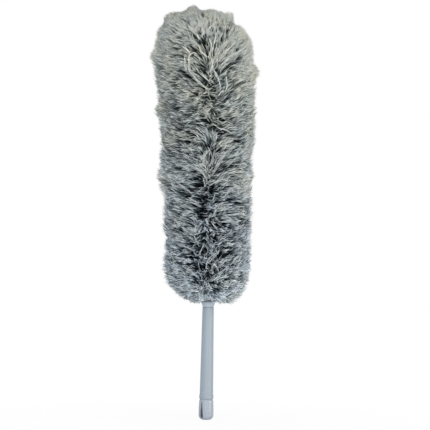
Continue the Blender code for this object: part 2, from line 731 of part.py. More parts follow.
def build_handle(materials):
    build_end_cap(materials["cap"])
    build_handle_tube(materials["tube"])
    build_neck_collar(materials["collar"])
    build_core_anchor(materials["core"])


def build_core(materials, joints):
    for index in range(BEND_COUNT + 1):
        build_spine_strip(index, materials["core"], joints[index])
        for side in (-1, 1):
            build_spine_wire(index, side, materials["wire"], joints[index])
    build_tip_cap(materials["core"], joints[-1])


def build_sleeve(materials, joints):
    build_hem_band(materials["hem"], joints[0])
    build_elastic_cord(materials["elastic"], joints[0])
    table = outline_table()
    rows_below = 0
    for index in range(BEND_COUNT + 1):
        build_sleeve_pile(index, rows_below, table, materials["pile"], joints[index])
        rows_below += len(slice_rows(index)) - 1


def main():
    clear_scene()
    materials = {
        "cap": make_material("cap_plastic", (0.43, 0.47, 0.53), 0.30),
        "tube": make_material("handle_plastic", (0.38, 0.45, 0.54), 0.45),
        "collar": make_material("collar_plastic", (0.30, 0.35, 0.42), 0.50),
        "core": make_material("core_plastic", (0.30, 0.32, 0.35), 0.55),
        "wire": make_material("wire_steel", (0.62, 0.62, 0.60), 0.35, 1.0),
        "hem": make_material("hem_fabric", (0.16, 0.18, 0.20), 0.90),
        "elastic": make_material("elastic_fabric", (0.60, 0.60, 0.58), 0.80),
        "pile": make_material("pile_fibre", (0.28, 0.30, 0.30), 0.95),
    }
    core_joints = [None]
    sleeve_joints = [add_joint_empty("sleeve_slide", HEM_BOTTOM, None)]
    for index, height in enumerate(BEND_HEIGHTS, start=1):
        core_joints.append(add_joint_empty(f"core_bend_{index}", height, core_joints[-1]))
        sleeve_joints.append(add_joint_empty(f"sleeve_bend_{index}", height, sleeve_joints[-1]))
    build_handle(materials)
    build_core(materials, core_joints)
    build_sleeve(materials, sleeve_joints)


main()
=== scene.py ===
import math

import bmesh
import bpy
import numpy as np
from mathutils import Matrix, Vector


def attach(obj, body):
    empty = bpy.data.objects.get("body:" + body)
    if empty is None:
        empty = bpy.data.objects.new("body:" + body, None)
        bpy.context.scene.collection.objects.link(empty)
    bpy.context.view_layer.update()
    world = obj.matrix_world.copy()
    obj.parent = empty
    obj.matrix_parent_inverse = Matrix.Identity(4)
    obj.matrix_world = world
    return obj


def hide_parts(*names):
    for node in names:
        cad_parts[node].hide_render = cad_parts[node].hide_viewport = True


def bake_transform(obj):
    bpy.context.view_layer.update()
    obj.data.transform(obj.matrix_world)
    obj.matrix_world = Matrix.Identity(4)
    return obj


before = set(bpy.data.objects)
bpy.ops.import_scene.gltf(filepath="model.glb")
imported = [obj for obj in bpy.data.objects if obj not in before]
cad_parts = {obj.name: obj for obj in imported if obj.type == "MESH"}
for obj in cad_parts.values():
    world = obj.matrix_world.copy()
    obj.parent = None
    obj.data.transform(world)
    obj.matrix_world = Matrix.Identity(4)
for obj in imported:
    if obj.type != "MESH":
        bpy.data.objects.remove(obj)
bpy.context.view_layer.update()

MM = 0.001
SEED = 20
TAU = math.tau
UP = np.array((0.0, 0.0, 1.0))

# --- camera and room
PHOTO_HEIGHT = 494.5 * MM  # what the photograph's height spans at the duster
PIXEL = PHOTO_HEIGHT / 430.0
VIEW_CENTRE = (5.75 * MM, 235.4 * MM)
VIEW_ROLL = math.radians(1.15)
LENS = 200.0
SENSOR = 36.0
FLOOR_FADE = (0.03, 0.32)  # where the floor that the camera sees turns plain white
FLOOR_SHARE = 0.9  # how white the camera sees the floor close to the duster
FLOOR_HALF = 6.0
FLOOR_LEVEL = -0.4 * MM

# --- the sleeve
TUNNEL_HALF = (3.3 * MM, 8.8 * MM)
BACKING_HALF = (5.1 * MM, 10.6 * MM)
CUFF_START = 148.2 * MM  # the backing's lower edge, above the hem
PILE_START = 152.7 * MM  # the lowest row of strands
BACKING_CLOSE = 428.0 * MM  # where the backing begins to close over the tip
BACKING_TOP = 432.4 * MM
TUNNEL_TOP = 425.8 * MM
BEND_ROOM = 1.6 * MM  # how much wider the tunnel is where the head bends
ROOM_ENDS = (160.0 * MM, 168.0 * MM, 404.0 * MM, 412.0 * MM)  # where that starts and ends
FIRST_BEND = 172.0 * MM
BEND_PITCH = 42.0 * MM
BEND_COUNT = 6
FRINGE_TOP = 160.0 * MM  # roots below it are in the sleeve's stiff lower edge
CROWN_TOP = 424.5 * MM
BACKING_STEPS = 48

# --- the hem
HEM_BOTTOM = 136.1 * MM
HEM_TOP = 147.9 * MM
HEM_WALL = 0.9 * MM
HEM_OUT = 3.5 * MM  # from the tunnel to the hem's outer side
HEM_TURN_DROP = 4.0 * MM  # how much lower the turned-in edge ends
HEM_FOLD_RADIUS = 1.1 * MM
HEM_RIPPLE = 0.18 * MM
HEM_GATHERS = 26
HEM_STEPS = 260
SEAM_HEIGHT = 142.2 * MM
STITCH_COUNT = 28
STITCH_RADIUS = 0.16 * MM
STITCH_SHAPE = (0.45, 0.85, 1.0, 1.0, 1.0, 0.85, 0.45)  # its thickness along it
STITCH_SIDES = 6
ELASTIC_RADIUS = 0.62 * MM
ELASTIC_STEPS = 320
ELASTIC_SIDES = 12
ELASTIC_PLAITS = 30
LINING_STEP = 0.1 * MM  # between two rings, to find which way is out

# The pile's outline, bottom to top: (height, middle, half width) in millimetres
OUTLINE = np.array((
    (137, 0.2, 8), (134, 2.2, 15), (132.8, 4.7, 22.5), (135.5, 4.4, 28.8), (142, 1.2, 37.2),
    (149.5, -0.4, 43.6), (157.5, -2.4, 48.5), (166, -2.4, 51), (176, -2.3, 52.8), (192, -2.5, 52.5),
    (210, -3.1, 52), (228, -2.7, 53), (244, -2.1, 52.5), (256, -2.5, 52.8), (268, -4.6, 54.3),
    (284, -5.8, 55.3), (300, -5.8, 55.8), (318, -4.6, 56.2), (336, -4.7, 57.4), (352, -5.6, 58.2),
    (366, -6.2, 58.2), (380, -7.3, 59.4), (398, -9.3, 60.6), (412, -11, 60.2), (426, -11, 58.2),
    (436, -11.7, 56), (446, -13.5, 52.8), (455, -16.2, 48.2), (462, -18.6, 42.6), (468.5, -20.2, 32.5),
    (473.5, -22, 18), (476.4, -24, 8), (477.8, -24.5, 0.1),
)) * MM


def clamp(t):
    return np.clip(t, 0.0, 1.0)


def smooth(t):
    t = clamp(t)
    return t * t * (3.0 - 2.0 * t)


def running_sum(steps):
    return np.concatenate(([0.0], np.cumsum(steps)))


# === materials
def new_material(name):
    material = bpy.data.materials.new(name)
    material.use_nodes = True
    material.node_tree.nodes.clear()
    return material, material.node_tree


def set_input(tree, socket, value):
    """Link a socket to another node's output, or give it a plain value."""
    if isinstance(value, bpy.types.NodeSocket):
        tree.links.new(value, socket)
    else:
        socket.default_value = (*value, 1.0) if socket.type == "RGBA" else value


def add_node(tree, kind, *values, **named):
    """A shader node with its inputs set, in their order or by name."""
    node = tree.nodes.new("ShaderNode" + kind)
    for index, value in enumerate(values):
        set_input(tree, node.inputs[index], value)
    for name, value in named.items():
        set_input(tree, node.inputs[name.replace("_", " ")], value)
    return node


def link_math(tree, kind, first, second):
    node = add_node(tree, "Math", first, second)
    node.operation = kind
    return node.outputs[0]


def link_mix(tree, factor, first, second, kind="MIX"):
    mix = add_node(tree, "Mix")
    mix.data_type = "RGBA"
    mix.blend_type = kind
    for index, value in ((0, factor), (6, first), (7, second)):
        set_input(tree, mix.inputs[index], value)
    return mix.outputs[2]


def link_ramp(tree, source, stops):
    """A colour ramp. Each stop is a place and a colour, or one number for a grey."""
    ramp = add_node(tree, "ValToRGB", source)
    band = ramp.color_ramp
    while len(band.elements) < len(stops):
        band.elements.new(0.5)
    for element, (place, colour) in zip(band.elements, stops):
        element.position = place
        element.color = (*colour, 1.0) if isinstance(colour, tuple) else (colour, colour, colour, 1.0)
    return ramp.outputs[0]


def link_noise(tree, scale, detail=3.0, stretch=(1.0, 1.0, 1.0)):
    place = add_node(tree, "TexCoord").outputs["Object"]
    mapping = add_node(tree, "Mapping", Vector=place, Scale=stretch)
    noise = add_node(tree, "TexNoise", Vector=mapping.outputs[0], Scale=scale, Detail=detail)
    return noise.outputs["Fac"]


def link_range(tree, source, low, high, to_low=0.0, to_high=1.0):
    node = add_node(tree, "MapRange", Value=source, From_Min=low, From_Max=high,
                    To_Min=to_low, To_Max=to_high)
    return node.outputs["Result"]


def finish_surface(tree, colour, roughness, bump=None, **plain):
    """The surface and the output. A bump is its pattern, its strength and how deep it is."""
    shader = add_node(tree, "BsdfPrincipled", Base_Color=colour, Roughness=roughness, **plain)
    if bump:
        pattern, strength, depth = bump
        node = add_node(tree, "Bump", Height=pattern, Strength=strength, Distance=depth)
        tree.links.new(node.outputs[0], shader.inputs["Normal"])
    add_node(tree, "OutputMaterial", shader.outputs[0])


def moulded_plastic(name, colour, shade, roughness, skin_strength=0.08):
    """Moulded plastic: slight clouding of the colour, uneven gloss and a fine skin."""
    material, tree = new_material(name)
    clouds = link_noise(tree, 26.0, 3.0, (1.0, 1.0, 0.45))
    base = link_mix(tree, link_range(tree, clouds, 0.35, 0.65), shade, colour)
    scuffs = link_noise(tree, 160.0, 4.0, (1.0, 1.0, 0.25))
    gloss = link_range(tree, scuffs, 0.3, 0.7, roughness - 0.05, roughness + 0.07)
    skin = link_noise(tree, 900.0, 2.0)
    finish_surface(tree, base, gloss, (skin, skin_strength, 0.1 * MM))
    return material


def drawn_wire(name):
    """Bright steel wire with fine marks along its length."""
    material, tree = new_material(name)
    marks = link_noise(tree, 900.0, 3.0, (1.0, 1.0, 0.03))
    base = link_mix(tree, link_range(tree, marks, 0.3, 0.7), (0.42, 0.42, 0.41), (0.62, 0.62, 0.6))
    gloss = link_range(tree, marks, 0.3, 0.7, 0.24, 0.4)
    finish_surface(tree, base, gloss, (marks, 0.12, 0.1 * MM), Metallic=1.0)
    return material


def woven_band(name, dark, light):
    """Knitted band: fine ribs round the hem, crossed by finer stitches."""
    material, tree = new_material(name)
    place = add_node(tree, "TexCoord").outputs["Object"]
    waves = []
    for direction, scale, distortion in (("Z", 260.0, 0.6), ("DIAGONAL", 330.0, 0.8)):
        wave = add_node(tree, "TexWave", Vector=place, Scale=scale, Distortion=distortion)
        wave.bands_direction = direction
        waves.append(wave.outputs["Color"])
    weave = link_mix(tree, 0.5, *waves)
    tint = link_mix(tree, 0.35, weave, link_noise(tree, 420.0, 4.0))
    base = link_ramp(tree, tint, ((0.25, dark), (0.75, light)))
    finish_surface(tree, base, 0.92, (weave, 0.5, 0.3 * MM), Sheen_Weight=0.25)
    return material


def pile_yarn(name):
    """Microfibre yarn with painted shade: dark at its root deep in the pile, paler towards its tip,
    with a painted highlight at the tip. Each strand has a tone of its own, warmer at the top of the
    head and bluer towards the handle, and paler at the very bottom as painted light against the shade under
    the head."""
    material, tree = new_material(name)

    def attribute(label):
        node = add_node(tree, "Attribute")
        node.attribute_name = label
        return node.outputs["Fac"]

    shade_height, tone, rise = attribute("shade_height"), attribute("tone"), attribute("rise")
    # Tint by height: warmer at the top and bluer towards the handle. The palest stop, at the very bottom, is
    # painted light against the shade under the head.
    tint_and_painted_light = link_ramp(tree, link_range(tree, rise, 0.135, 0.478), (
        (0.0, (0.645, 0.71, 0.765)), (0.12, (0.56, 0.612, 0.66)), (0.3, (0.55, 0.59, 0.625)),
        (0.45, (0.555, 0.585, 0.585)), (0.72, (0.555, 0.578, 0.545)), (1.0, (0.56, 0.572, 0.532))))
    strand = link_ramp(tree, tone, ((0.0, 0.13), (0.16, 0.48), (0.34, 1.0), (0.65, 1.22), (1.0, 1.38)))
    cast = link_ramp(tree, link_noise(tree, 42.0, 2.0), (
        (0.34, (0.92, 0.95, 0.98)), (0.5, (1.0, 1.0, 1.0)), (0.66, (1.04, 1.02, 0.96))))
    tint_and_painted_light = link_mix(tree, 1.0, tint_and_painted_light, cast, "MULTIPLY")
    body = link_mix(tree, 1.0, tint_and_painted_light, strand, "MULTIPLY")
    # Painted shade by depth in the pile: near black deep inside, full colour at the surface, and a painted
    # highlight a little over 1 at the tips. Deep down, the lower part of the head gets darker painted shade
    # than the upper part.
    ends = ((0.9, (0.78, 0.82, 0.84)), (0.95, 1.08), (1.0, 1.06))
    lower = link_ramp(tree, shade_height, (
        (0.0, (0.016, 0.02, 0.024)), (0.7, (0.014, 0.022, 0.03)), (0.81, (0.2, 0.25, 0.28)), *ends))
    upper = link_ramp(tree, shade_height, (
        (0.0, (0.05, 0.056, 0.056)), (0.7, (0.052, 0.062, 0.064)), (0.81, (0.25, 0.29, 0.31)), *ends))
    along = link_mix(tree, link_range(tree, rise, 0.27, 0.34), lower, upper)
    base = link_mix(tree, 1.0, body, along, "MULTIPLY")
    finish_surface(tree, base, 0.8, Specular_IOR_Level=0.25)
    return material


# === the pile
def outline_tables():
    """The outline walked from bottom to pole: distance, height, middle and half width."""
    z, c, r = OUTLINE.T
    run = running_sum(np.hypot(np.diff(z), np.diff(r)))
    fine = np.linspace(0.0, run[-1], 400)
    return fine, np.interp(fine, run, z), np.interp(fine, run, c), np.interp(fine, run, r)


RUN, HEIGHTS, MIDDLES, RADII = outline_tables()
SIDE = OUTLINE[7:]  # the outline above its rounded underside: height, middle, half width
RISING = OUTLINE[3:]  # the outline from where its height rises steadily
AXIS_LOW, AXIS_HIGH = SIDE[0, 0], 436.0 * MM  # the ends of the axis that points are drawn in to
UNDERSIDE_TOP = 160.0 * MM
UNDERSIDE_RADIUS = 22.0 * MM  # within it the underside stays centred on the handle
COLLAR_FRINGE_HALF = 9.0 * MM  # half the width of the fringe in front of the collar
COLLAR_FRINGE_LIFT = 1.6 * MM
COLLAR_FRINGE_TOP = 142.5 * MM  # below it that fringe is paler: painted light against the pile's shade there


def middle_at(z, radius=1.0):
    """Sideways place of the head's middle. Close to the handle the underside stays centred on it."""
    hold = np.where(z < UNDERSIDE_TOP, clamp(radius / UNDERSIDE_RADIUS), 1.0)
    return np.interp(z, RISING[:, 0], RISING[:, 1]) * hold


def on_outline(run, angle, share=1.0):
    """Point on the pile's surface. Angle 0 is the front (-Y), 90 degrees the right (+X)."""
    z = np.interp(run, RUN, HEIGHTS)
    c = np.interp(run, RUN, MIDDLES)
    r = np.interp(run, RUN, RADII) * share
    return np.stack((c + r * np.sin(angle), -r * np.cos(angle), z), axis=-1)


def outline_normal(run, angle):
    step = 2.0 * MM
    out, fall = (np.interp(run + step, RUN, along) - np.interp(run - step, RUN, along)
                 for along in (HEIGHTS, RADII))
    size = np.hypot(out, fall) + 1e-9
    out, up = out / size, -fall / size
    return np.stack((out * np.sin(angle), -out * np.cos(angle), up), axis=-1)


def unit(v):
    return v / (np.linalg.norm(v, axis=-1, keepdims=True) + 1e-12)


# What follows is laid over the photograph, in its pixels, across and down.
# Dark crevices between the front's tufts: half width, and the paths that have it, flat
CREVICES = (
    (1.0, ((210, 54, 210, 61), (219, 152), (209, 163), (228, 214, 236, 213), (243, 232))),
    (1.1, ((216, 230),)),
    (1.2, ((204, 10, 202, 14, 203, 18), (190, 36, 196, 42, 200, 47), (237, 67, 234, 70), (167, 67),
        (194, 113), (244, 108), (197, 126, 204, 127), (190, 124), (207, 157), (241, 178),
        (229, 201, 234, 200, 241, 203, 244, 206), (215, 270), (220, 281), (199, 275), (182, 287),
        (236, 299))),
    (1.3, ((234, 22, 230, 29, 228, 38), (171, 51, 175, 52), (242, 50), (213, 94), (186, 25), (221, 30),
        (207, 98, 209, 103), (198, 122, 205, 122, 211, 123, 213, 125), (218, 142), (213, 175),
        (225, 188, 231, 187), (187, 192, 191, 192), (192, 206, 199, 207), (190, 222, 192, 226),
        (180, 228, 179, 232), (223, 247), (230, 247), (200, 270), (211, 260), (230, 270, 233, 265),
        (195, 279, 197, 283), (168, 212), (172, 262), (246, 252))),
    (1.4, ((171, 33), (181, 58), (247, 84), (210, 234), (171, 236), (166, 126))),
    (1.5, ((224, 38, 222, 46), (169, 43, 173, 46), (233, 65, 228, 70, 224, 74),
        (205, 81, 207, 86, 209, 88), (155, 69, 160, 69), (173, 81), (236, 84), (176, 118, 176, 124),
        (186, 112), (241, 101), (230, 99), (202, 146, 206, 147, 208, 150), (214, 152),
        (218, 172, 225, 170, 232, 167, 240, 166), (200, 176, 195, 180), (208, 181), (198, 256),
        (225, 255, 228, 255), (204, 265, 207, 263), (213, 283), (191, 285, 196, 288))),
    (1.6, ((210, 116), (169, 106, 174, 110), (219, 121, 225, 121),
        (210, 130, 216, 130, 220, 133, 226, 135), (194, 136), (163, 155, 170, 157, 175, 160),
        (170, 168, 178, 169), (211, 221, 216, 223, 221, 226), (203, 230, 204, 236))),
    (1.8, ((201, 59), (178, 72, 183, 77, 187, 79, 191, 80, 195, 83), (202, 184, 196, 187),
        (184, 240, 190, 245, 198, 246, 201, 243, 206, 240), (182, 254), (211, 277, 205, 276),
        (206, 290, 212, 293, 218, 293, 220, 290))),
    (1.9, ((163, 140), (163, 151), (187, 143))),
    (2.0, ((188, 49, 191, 53, 197, 54), (214, 82), (197, 96), (222, 107), (186, 133),
        (237, 142, 243, 142), (208, 188, 211, 191, 217, 190), (205, 203, 203, 207), (205, 249, 202, 253),
        (190, 252, 190, 257), (220, 252, 221, 258))),
    (2.1, ((177, 131), (176, 142))),
    (2.2, ((179, 194), (199, 198, 203, 199, 210, 198), (232, 252), (195, 265, 194, 268))),
    (2.3, ((203, 44, 204, 51, 207, 57),)),
    (2.5, ((200, 69, 205, 72, 207, 76), (240, 61), (203, 212, 206, 215, 202, 218))),
)
CREVICE_WIDTHS = ((60, 85, 130, 180), (0.95, 0.72, 0.72, 1.0))  # how wide they open, by rows down
BACK_CREVICES = 95  # more of them at the sides and back, at random
# Long loose strands over the front's tufts, as paths like these
LOOSE = (
    (183, 49, 187, 53, 191, 57), (185, 49, 189, 54, 192, 59), (195, 56, 190, 59, 190, 66, 191, 74, 194, 78),
    (185, 61, 185, 68, 187, 74), (199, 49, 202, 55, 209, 61), (191, 76, 199, 84, 205, 89, 210, 93),
    (202, 76, 206, 81, 210, 85), (213, 70, 212, 57, 215, 43, 216, 33), (212, 69, 210, 73, 207, 77),
    (213, 72, 218, 82, 221, 90, 220, 94), (226, 79, 227, 88, 225, 96), (223, 93, 220, 96, 218, 99),
    (217, 66, 225, 57, 231, 49, 237, 43), (221, 69, 229, 60, 240, 53, 247, 47), (209, 60, 211, 49, 208, 40),
    (201, 39, 206, 36, 214, 27), (198, 40, 194, 36, 188, 29), (212, 125, 218, 129, 227, 132, 234, 135),
    (208, 148, 211, 153, 212, 159), (206, 179, 204, 176, 199, 171, 191, 166, 182, 161),
    (205, 177, 200, 168, 191, 163), (208, 151, 206, 156, 199, 163), (212, 177, 217, 169, 222, 160, 229, 151),
    (214, 170, 218, 165, 226, 156, 235, 148), (205, 187, 204, 181, 203, 177),
    (192, 193, 187, 191, 181, 185, 173, 177), (210, 186, 218, 181, 229, 179),
    (225, 216, 233, 215, 241, 213, 245, 206), (226, 216, 235, 222, 241, 227), (195, 138, 190, 139, 186, 142),
    (211, 221, 215, 226, 219, 231), (200, 243, 196, 240, 194, 233), (212, 280, 220, 274, 225, 268),
    (230, 264, 235, 258, 240, 254), (200, 254, 202, 248, 204, 243), (205, 168, 203, 160, 205, 152),
    (210, 166, 213, 158, 215, 150), (197, 226, 190, 222, 182, 219), (190, 262, 184, 258, 176, 257),
    (208, 262, 213, 257, 219, 251), (198, 276, 191, 270, 184, 267), (206, 268, 207, 261, 211, 255),
    (221, 238, 228, 233, 236, 231), (193, 250, 186, 246, 178, 245), (216, 208, 222, 204, 229, 202),
    (200, 207, 192, 203, 184, 202),
)
# Tufts that stand out of the outline, and dips in it: (across, down, radius, how far out in mm)
TUFTS = (
    (179, 7, 9, -3), (192, 4, 5, 0.4), (203, 6, 6, -3), (230, 14, 4.5, 3.2), (237, 22, 4, -3.2),
    (248, 40, 7, 0.8), (158, 21, 5.5, -3.6), (153, 55, 5, 2.2), (256, 72, 5, 3),
    (157, 110, 6, 2.6), (158, 175, 7, 2.2), (160, 187, 4, 1.8), (251, 176, 4, 2),
    (163, 238, 6, -2),
)
# Whorls that the strands fan out from: (x, height, spread upward, spread downward), in millimetres
FRONT_WHORLS = ((-3.0, 392.0, 300.0, 26.0), (-2.3, 279.0, 34.0, 18.0), (0.0, 140.0, 75.0, 60.0))
BACK_WHORLS = ((1.0, 412.0, 300.0, 30.0), (-4.0, 322.0, 36.0, 24.0), (2.0, 226.0, 36.0, 26.0),
               (0.0, 140.0, 50.0, 60.0))
# How the front's tufts are combed: (across, down, degrees, reach), with 0 to the right, 90 up.
# Set from strand directions measured in the photograph every 12 pixels
COMBED = (
    (178, 31, 158, 9), (201, 29, 66, 8), (170, 52, 184, 13), (168, 76, 192, 14), (185, 84, 158, 9),
    (190, 93, 176, 7), (226, 91, 50, 9), (238, 99, 38, 12), (174, 103, 150, 8), (194, 107, 214, 12),
    (182, 118, 200, 10), (213, 115, -50, 7), (224, 122, -32, 10), (238, 121, 18, 12), (175, 130, 150, 9),
    (188, 127, 172, 8), (203, 131, 152, 9), (211, 133, 75, 7), (178, 143, 178, 9), (189, 139, 200, 7),
    (230, 140, 11, 12), (182, 154, 164, 13), (230, 154, 46, 13), (176, 165, 174, 9), (192, 162, 150, 9),
    (212, 160, 84, 9), (226, 165, 40, 9), (239, 166, 26, 9), (182, 177, 186, 13), (230, 177, 27, 13),
    (176, 188, 146, 9), (189, 188, 180, 8), (222, 192, 32, 11), (239, 194, -7, 12), (181, 200, 178, 12),
    (200, 203, 182, 8), (219, 209, 43, 12), (239, 212, 18, 10), (179, 217, 138, 16), (217, 226, -52, 8),
    (235, 223, -24, 10), (171, 236, 134, 10), (186, 234, 124, 9), (197, 232, 264, 7), (227, 240, 48, 13),
    (180, 248, 144, 14), (195, 249, 182, 6), (231, 250, 51, 13), (179, 260, 147, 13), (225, 262, 40, 8),
    (238, 264, 48, 10), (173, 273, 146, 10), (187, 271, 128, 9), (200, 273, 100, 7), (218, 276, 42, 8),
    (233, 273, 55, 12), (172, 284, 154, 9), (191, 283, 128, 8), (203, 286, 94, 7), (211, 286, -62, 6),
    (226, 286, 42, 9), (241, 283, 55, 11), (184, 293, 155, 11), (219, 291, 24, 7), (234, 292, 42, 10),
)
# Painted light and shade on the front's tufts, paler or darker than the rest: (across, down,
# radius, tone), set against the photograph's mean brightness by region
SHADED = (
    (222, 211, 8, 0.16), (209, 140, 7, 0.16), (240, 152, 8, 0.06), (196, 232, 5, 0.14), (196, 249, 5, 0.12),
    (225, 272, 7, 0.12), (233, 241, 7, 0.12), (190, 291, 10, 0.1), (169, 112, 9, -0.12), (176, 125, 8, -0.1),
    (178, 150, 15, -0.14), (204, 198, 7, -0.14), (242, 222, 9, 0.06), (232, 106, 12, 0.06),
    (236, 185, 12, 0.06), (176, 226, 12, 0.04), (222, 148, 7, -0.06), (208, 60, 6, 0.12), (227, 62, 8, 0.06),
    (196, 68, 8, -0.1), (182, 56, 8, -0.08), (230, 228, 10, 0.08), (163, 180, 10, -0.16),
    (162, 104, 10, -0.14), (182, 102, 9, 0.08), (196, 103, 6, 0.12), (236, 290, 10, -0.12),
    (168, 287, 6, 0.08), (226, 184, 8, 0.08), (198, 260, 8, 0.12), (163, 142, 8, -0.08), (225, 218, 8, 0.08),
    (217, 290, 6, -0.1), (244, 250, 8, -0.06), (244, 60, 9, -0.08),
)
UPWARD = 0.24
PARTING = 0.55  # how much the strands part to the left and right
PARTING_WIDTH = 9.0 * MM
# Heights on the pile's surface, and those of the roots beneath them
ROOT_HEIGHTS = ((0.13, 0.16, 0.3, 0.44, 0.478),
                (PILE_START, 0.166, 0.299, 0.4245, BACKING_TOP - 0.4 * MM))
TUFT_DEPTH = 34.0 * MM  # how far from the middle plane a tuft of the outline shows
PASSING_REACH = 36.0 * MM  # strands that start further above or below don't pass a crevice
PASSING_SHARE = 0.13  # how many strands pass over the crevices
CLUMPS = 15500
CLUMP_STRANDS = 4


def along_surface(field, normal):
    return field - normal * np.sum(field * normal, axis=-1, keepdims=True)


def lie_of(point, normal, front):
    """Which way the strands lie on the pile's surface: out from the whorls, a little up, and at
    the front as they are combed there. Also how firmly they are combed, from 0 to 1."""
    field = np.zeros_like(point)
    for whorls, side, chosen in ((FRONT_WHORLS, -1.0, front), (BACK_WHORLS, 1.0, ~front)):
        total = np.zeros_like(point)
        for x, z, up, down in whorls:
            depth = np.interp(z * MM, SIDE[:, 0], SIDE[:, 2])
            away = point - np.array((x * MM, side * depth, z * MM))
            rise = away[:, 2:3] / MM
            share = np.exp(-(rise / np.where(rise > 0, up, down)) ** 2) + 1e-4
            total += share * unit(away)
        aside = point[:, 0] - np.interp(point[:, 2], SIDE[:, 0], SIDE[:, 1])
        total[:, 0] += PARTING * np.tanh(aside / PARTING_WIDTH) * (1.0 - np.abs(normal[:, 2]))
        field[chosen] = unit(total)[chosen]
    field[:, 2] += UPWARD
    field = along_surface(field, normal)
    comb, hold = combing(point)
    hold = hold * front
    field = unit(field) * (1.0 - hold)[:, None] + comb * hold[:, None]
    return unit(along_surface(field, normal)), hold


def closeness(point, here, pixels):
    """1 at a place, falling to 0 beyond a number of pixels from it."""
    gap = np.linalg.norm(point - here, axis=-1) / (pixels * PIXEL)
    return np.exp(-gap ** 2)


def combing(point):
    """Which way the front is combed at each point, and how firmly, from 0 to 1."""
    way, total = np.zeros_like(point), np.zeros(len(point))
    for across, down, degrees, reach in COMBED:
        turn = math.radians(degrees)
        here = on_front(across, down)
        step = on_front(across + math.cos(turn), down - math.sin(turn)) - here
        share = closeness(point, here, reach)
        way += share[:, None] * unit(step)
        total += share
    return unit(way), clamp(total * 1.15)


def painted_light_and_shade(point, front):
    """How much each point of the front is painted paler or darker than the rest: painted light and shade."""
    tone = np.zeros(len(point))
    for across, down, radius, shift in SHADED:
        tone += shift * closeness(point, on_front(across, down), radius) * front
    return tone


def bend_room(z):
    """Extra width of the tunnel and its backing, so that the core's ribs clear them at a bend."""
    return BEND_ROOM * np.interp(z, ROOM_ENDS, (0.0, 1.0, 1.0, 0.0))


def root_of(surface, jitter):
    """Root on the backing beneath a point of the pile's surface."""
    z = np.interp(surface[:, 2], *ROOT_HEIGHTS)
    z = np.clip(z + jitter[:, 2], PILE_START, BACKING_TOP - 0.3 * MM)
    centre = np.interp(surface[:, 2], SIDE[:, 0], SIDE[:, 1])
    angle = np.arctan2(surface[:, 0] - centre + jitter[:, 0], -surface[:, 1] + jitter[:, 1])
    a, b = BACKING_HALF[0] + bend_room(z), BACKING_HALF[1]
    reach = 1.0 / np.sqrt((np.sin(angle) / a) ** 2 + (np.cos(angle) / b) ** 2) - 0.6 * MM
    over = clamp((z - BACKING_CLOSE) / (BACKING_TOP - BACKING_CLOSE))
    reach *= np.sqrt(np.clip(1.0 - over ** 2, 0.02, 1.0))
    return np.stack((reach * np.sin(angle), -reach * np.cos(angle), z), axis=-1)


def from_photo(across, down):
    """The duster's x and z, at its front surface, for a pixel of the photograph."""
    u, v = (across - 215.0) * PIXEL, (215.0 - down) * PIXEL
    turn_cos, turn_sin = math.cos(VIEW_ROLL), math.sin(VIEW_ROLL)
    return VIEW_CENTRE[0] + u * turn_cos - v * turn_sin, VIEW_CENTRE[1] + u * turn_sin + v * turn_cos


def on_front(across, down, share=1.0):
    """The point of the pile's front surface that shows at a pixel of the photograph."""
    x, z = from_photo(across, down)
    middle = middle_at(z)
    radius = np.interp(z, RISING[:, 0], RISING[:, 2]) * share
    sine = np.clip((x - middle) / radius, -0.98, 0.98)
    return np.array((middle + radius * sine, -radius * math.sqrt(1.0 - sine ** 2), z))


def crevice_points(chance):
    """Points every millimetre or so along the crevices, with each one's half width."""
    points, widths = [], []
    for wide, paths in CREVICES:
        for path in paths:
            path = np.reshape(path, (-1, 2)).astype(float)
            if len(path) > 1:
                length = sum(math.dist(a, b) for a, b in zip(path, path[1:]))
                path = curve_through(path, 2 + int(length * PIXEL / MM))
            points += [on_front(x, y) for x, y in path]
            widths += [wide * PIXEL * np.interp(y, *CREVICE_WIDTHS) for x, y in path]
    step = 1.1 * MM
    for _ in range(BACK_CREVICES):
        run, angle = chance.uniform(RUN[40], RUN[-90]), chance.uniform(0.52, 1.48) * math.pi
        turn, bend, wide = chance.uniform(0.0, TAU), chance.normal(0.0, 0.12), chance.uniform(1.3, 2.8) * MM
        for _ in range(chance.integers(1, 10)):
            points.append(on_outline(run, angle))
            widths.append(wide)
            run += step * math.cos(turn)
            angle += step * math.sin(turn) / (45.0 * MM)
            turn += bend
    return np.array(points), np.array(widths)


def sink_into_crevices(chance, surfacing, tip):
    """Which share of its height in the pile each strand keeps: less where it passes a crevice."""
    keep = np.ones(len(tip))
    points, widths = crevice_points(chance)
    surfacing, tip = pressed(surfacing, 1.0), pressed(tip, 1.0)
    along = tip - surfacing
    square = np.sum(along * along, axis=-1)
    for point, wide in zip(points, widths):
        near = np.flatnonzero(np.abs(surfacing[:, 2] - point[2]) < PASSING_REACH)
        t = clamp(np.sum((point - surfacing[near]) * along[near], axis=-1) / square[near])
        gap = np.linalg.norm(surfacing[near] + along[near] * t[:, None] - point, axis=-1)
        sunk = (0.1 + 85.0 * wide) * np.exp(-(gap / wide) ** 8)
        keep[near] = np.minimum(keep[near], 1.0 - sunk)
    return np.where(chance.random(len(tip)) < PASSING_SHARE, 1.0, keep)


def drift_field(chance, points, length):
    """A smooth random value at each point, mostly between -1.5 and 1.5, that changes over a length."""
    total = np.zeros(len(points))
    for _ in range(8):
        way = unit(chance.normal(size=3)) * TAU / (length * chance.uniform(0.75, 1.35))
        total += np.sin(points @ way + chance.uniform(0.0, TAU))
    return total / 2.0


def lower_part(height):
    """1 in the shaggier lower part of the head, falling to 0 above it."""
    return 1.0 - smooth((height - 0.225) / 0.05)


